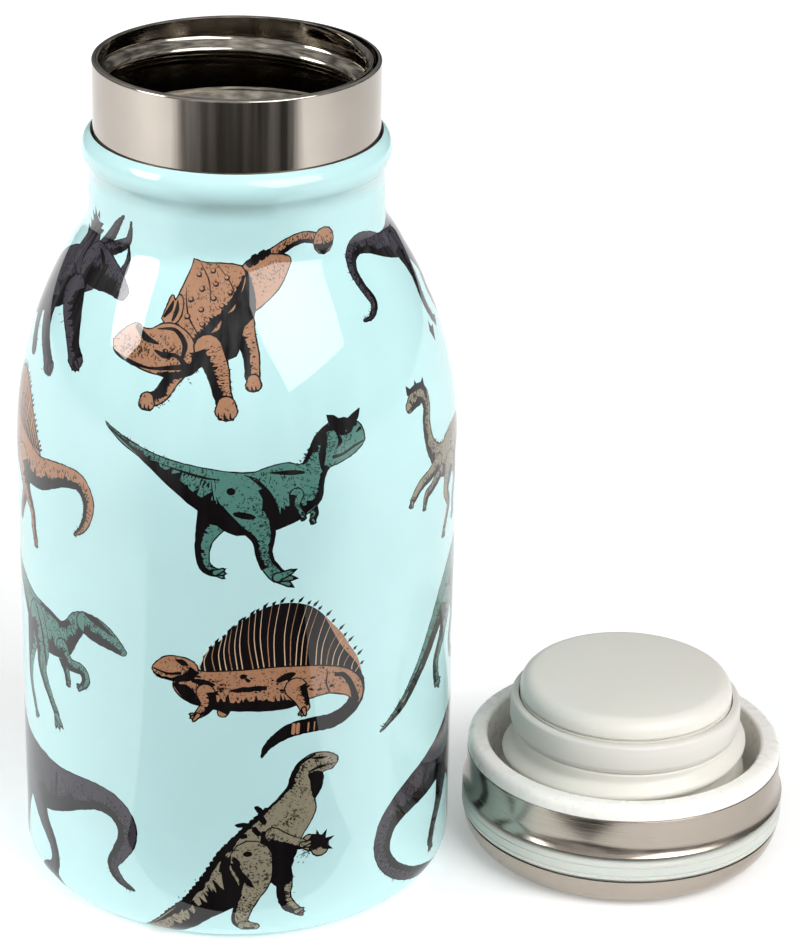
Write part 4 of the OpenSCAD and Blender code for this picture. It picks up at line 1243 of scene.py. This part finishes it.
def world():
    """White to the camera. Reflections see a bright studio that is dark and cluttered behind the camera."""
    studio = bpy.data.worlds.new("studio")
    studio.use_nodes = True
    nodes, links = studio.node_tree.nodes, studio.node_tree.links
    nodes.clear()
    around_us = shader_node(nodes, "TexCoord").outputs["Generated"]

    def towards(direction):
        """How nearly a ray runs along a direction."""
        facing = shader_node(nodes, "VectorMath", "DOT_PRODUCT")
        facing.inputs[1].default_value = Vector(direction).normalized()
        links.new(around_us, facing.inputs[0])
        return facing.outputs["Value"]

    ramp = shader_node(nodes, "ValToRGB")
    ramp.color_ramp.elements[0].position = 0.5
    ramp.color_ramp.elements[0].color = (0.18, 0.18, 0.18, 1)
    ramp.color_ramp.elements[1].position = 0.8
    ramp.color_ramp.elements[1].color = (0.03, 0.028, 0.026, 1)
    links.new(towards((0.0, -0.62, -0.78)), ramp.inputs["Fac"])
    stretch = shader_node(nodes, "Mapping", Scale=(5.0, 5.0, 0.6))
    clutter = shader_node(nodes, "TexNoise", Scale=1.6, Detail=4.0)
    uneven = shader_node(nodes, "MapRange", From_Min=0.38, From_Max=0.68, To_Min=0.4, To_Max=2.6)
    shade = shader_node(nodes, "VectorMath", "SCALE")
    rise = shader_node(nodes, "MapRange", From_Min=-0.5, To_Min=0.4, To_Max=2.6)
    around = shader_node(nodes, "Background")
    links.new(around_us, stretch.inputs["Vector"])
    links.new(stretch.outputs["Vector"], clutter.inputs["Vector"])
    links.new(clutter.outputs["Fac"], uneven.inputs["Value"])
    links.new(ramp.outputs["Color"], shade.inputs[0])
    links.new(uneven.outputs["Result"], shade.inputs["Scale"])
    links.new(towards((0.0, -0.45, 0.89)), rise.inputs["Value"])
    links.new(shade.outputs["Vector"], around.inputs["Color"])
    links.new(rise.outputs["Result"], around.inputs["Strength"])
    path = shader_node(nodes, "LightPath")
    seen = shader_node(nodes, "Background", Color=(1, 1, 1, 1), Strength=1.05)
    mix = shader_node(nodes, "MixShader")
    output = shader_node(nodes, "OutputWorld")
    links.new(path.outputs["Is Camera Ray"], mix.inputs["Fac"])
    links.new(around.outputs["Background"], mix.inputs[1])
    links.new(seen.outputs["Background"], mix.inputs[2])
    links.new(mix.outputs["Shader"], output.inputs["Surface"])
    bpy.context.scene.world = studio


def window(name, corners, middle, edge):
    """A lit window pane that the flask's shoulder mirrors. Its corners are (bearing from the front
    towards +X, rise) as seen from the shoulder. middle and edge are how bright it is there."""
    distance = 0.9
    shoulder_at = Vector((0, 0, 0.1))
    points = []
    for bearing, rise in corners:
        b, e = math.radians(bearing), math.radians(rise)
        out = Vector((math.sin(b) * math.cos(e), -math.cos(b) * math.cos(e), math.sin(e)))
        points.append(shoulder_at + out * distance)
    centre = sum(points, Vector()) / len(points)
    mesh = bpy.data.meshes.new(name)
    mesh.from_pydata(points, [], [tuple(range(len(points)))])
    pane = new_object(name, mesh)
    surface = Surface(name, Base_Color=(0, 0, 0, 1), Specular_IOR_Level=0.0, Emission_Color=(1, 1, 1, 1))
    away = shader_node(surface.nodes, "VectorMath", "DISTANCE")
    away.inputs[1].default_value = centre
    reach = max((p - centre).length for p in points)
    fall = shader_node(surface.nodes, "MapRange", From_Max=reach, To_Min=middle, To_Max=edge)
    surface.links.new(surface.coords, away.inputs[0])
    surface.links.new(away.outputs["Value"], fall.inputs["Value"])
    surface.links.new(fall.outputs["Result"], surface.shader.inputs["Emission Strength"])
    mesh.materials.append(surface.material)
    pane.visible_camera = False


def light_table(surface):
    """The table glows more towards its back. Far in front, its glow fades towards the wedge and its colour
    is darkened there: painted shade, which the flask mirrors as a dark studio.
    """
    nodes, links = surface.nodes, surface.links
    split = shader_node(nodes, "SeparateXYZ")
    aside = shader_node(nodes, "Math", "ABSOLUTE")
    past = shader_node(nodes, "Math", "ADD")
    soft = shader_node(nodes, "MapRange", From_Min=-0.05, From_Max=0.1)
    near = shader_node(nodes, "MapRange", From_Min=-0.16, From_Max=-0.1)
    lit = shader_node(nodes, "Math", "MAXIMUM")
    glow = shader_node(nodes, "MapRange", From_Min=0.05, From_Max=0.5, To_Min=0.22, To_Max=0.5)
    power = shader_node(nodes, "Math", "MULTIPLY")
    painted_shade_tint = shader_node(nodes, "VectorMath", "SCALE")
    colour = surface.shader.inputs["Base Color"]
    links.new(surface.coords, split.inputs[0])
    links.new(split.outputs["X"], aside.inputs[0])
    links.new(aside.outputs[0], past.inputs[0])
    links.new(split.outputs["Y"], past.inputs[1])
    links.new(past.outputs[0], soft.inputs["Value"])
    links.new(split.outputs["Y"], near.inputs["Value"])
    links.new(soft.outputs["Result"], lit.inputs[0])
    links.new(near.outputs["Result"], lit.inputs[1])
    links.new(split.outputs["Y"], glow.inputs["Value"])
    links.new(lit.outputs[0], power.inputs[0])
    links.new(glow.outputs["Result"], power.inputs[1])
    links.new(power.outputs[0], surface.shader.inputs["Emission Strength"])
    # Painted shade: the base colour is darkened with the glow, towards the wedge.
    links.new(colour.links[0].from_socket, painted_shade_tint.inputs[0])
    links.new(lit.outputs[0], painted_shade_tint.inputs["Scale"])
    links.new(painted_shade_tint.outputs[0], colour)


def table():
    """Lit white table. The wedge cut out of its front keeps the walls that face the camera dark."""
    mesh = bpy.data.meshes.new("table")
    front, wing, side, back = -0.044, -0.6, 1.6, 0.8
    edge = [(-side, wing), (-0.55, wing), (-0.045, front), (0.045, front), (0.08, -0.14), (0.55, wing),
            (side, wing)]
    corners = [(x, y, 0) for x, y in edge + [(side, back), (-side, back)]]
    mesh.from_pydata(corners, [], [tuple(range(len(corners)))])
    top = new_object("table", mesh)
    surface = Surface("table_white", Emission_Color=(1, 1, 1, 1), Specular_IOR_Level=0.2)
    surface.colour(srgb(247, 247, 247), 0.003, surface.noise(8))
    surface.roughness(0.5, 0.6, surface.noise(20))
    light_table(surface)
    mesh.materials.append(surface.material)


def camera():
    """Stands in front, a little above the mouth, and looks down at the flask and lid."""
    yaw, pitch, roll = math.radians(3.59), math.radians(23.84), math.radians(1.07)
    ahead = Vector((math.sin(yaw) * math.cos(pitch), math.cos(yaw) * math.cos(pitch), -math.sin(pitch)))
    data = bpy.data.cameras.new("camera")
    data.sensor_fit = "VERTICAL"
    data.sensor_height = 36
    data.lens = 134.5
    eye = bpy.data.objects.new("camera", data)
    eye.rotation_mode = "QUATERNION"
    eye.location = (-0.0066, -0.5203, 0.2967)
    eye.rotation_quaternion = ahead.to_track_quat("-Z", "Y") @ Matrix.Rotation(roll, 3, "Z").to_quaternion()
    bpy.context.scene.collection.objects.link(eye)
    bpy.context.scene.camera = eye


world()
table()
camera()
window("right_window", [(8, 38), (10, 52), (70, 41), (64, 17), (27, 12), (14, 28)], 6.3, 4.6)
window("left_window", [(-92, 31), (-67, 43), (-63, 31), (-60, 19), (-66, 13), (-78, 13), (-85, 22)],
       13.5, 8.0)
bpy.context.scene.view_settings.view_transform = "Standard"
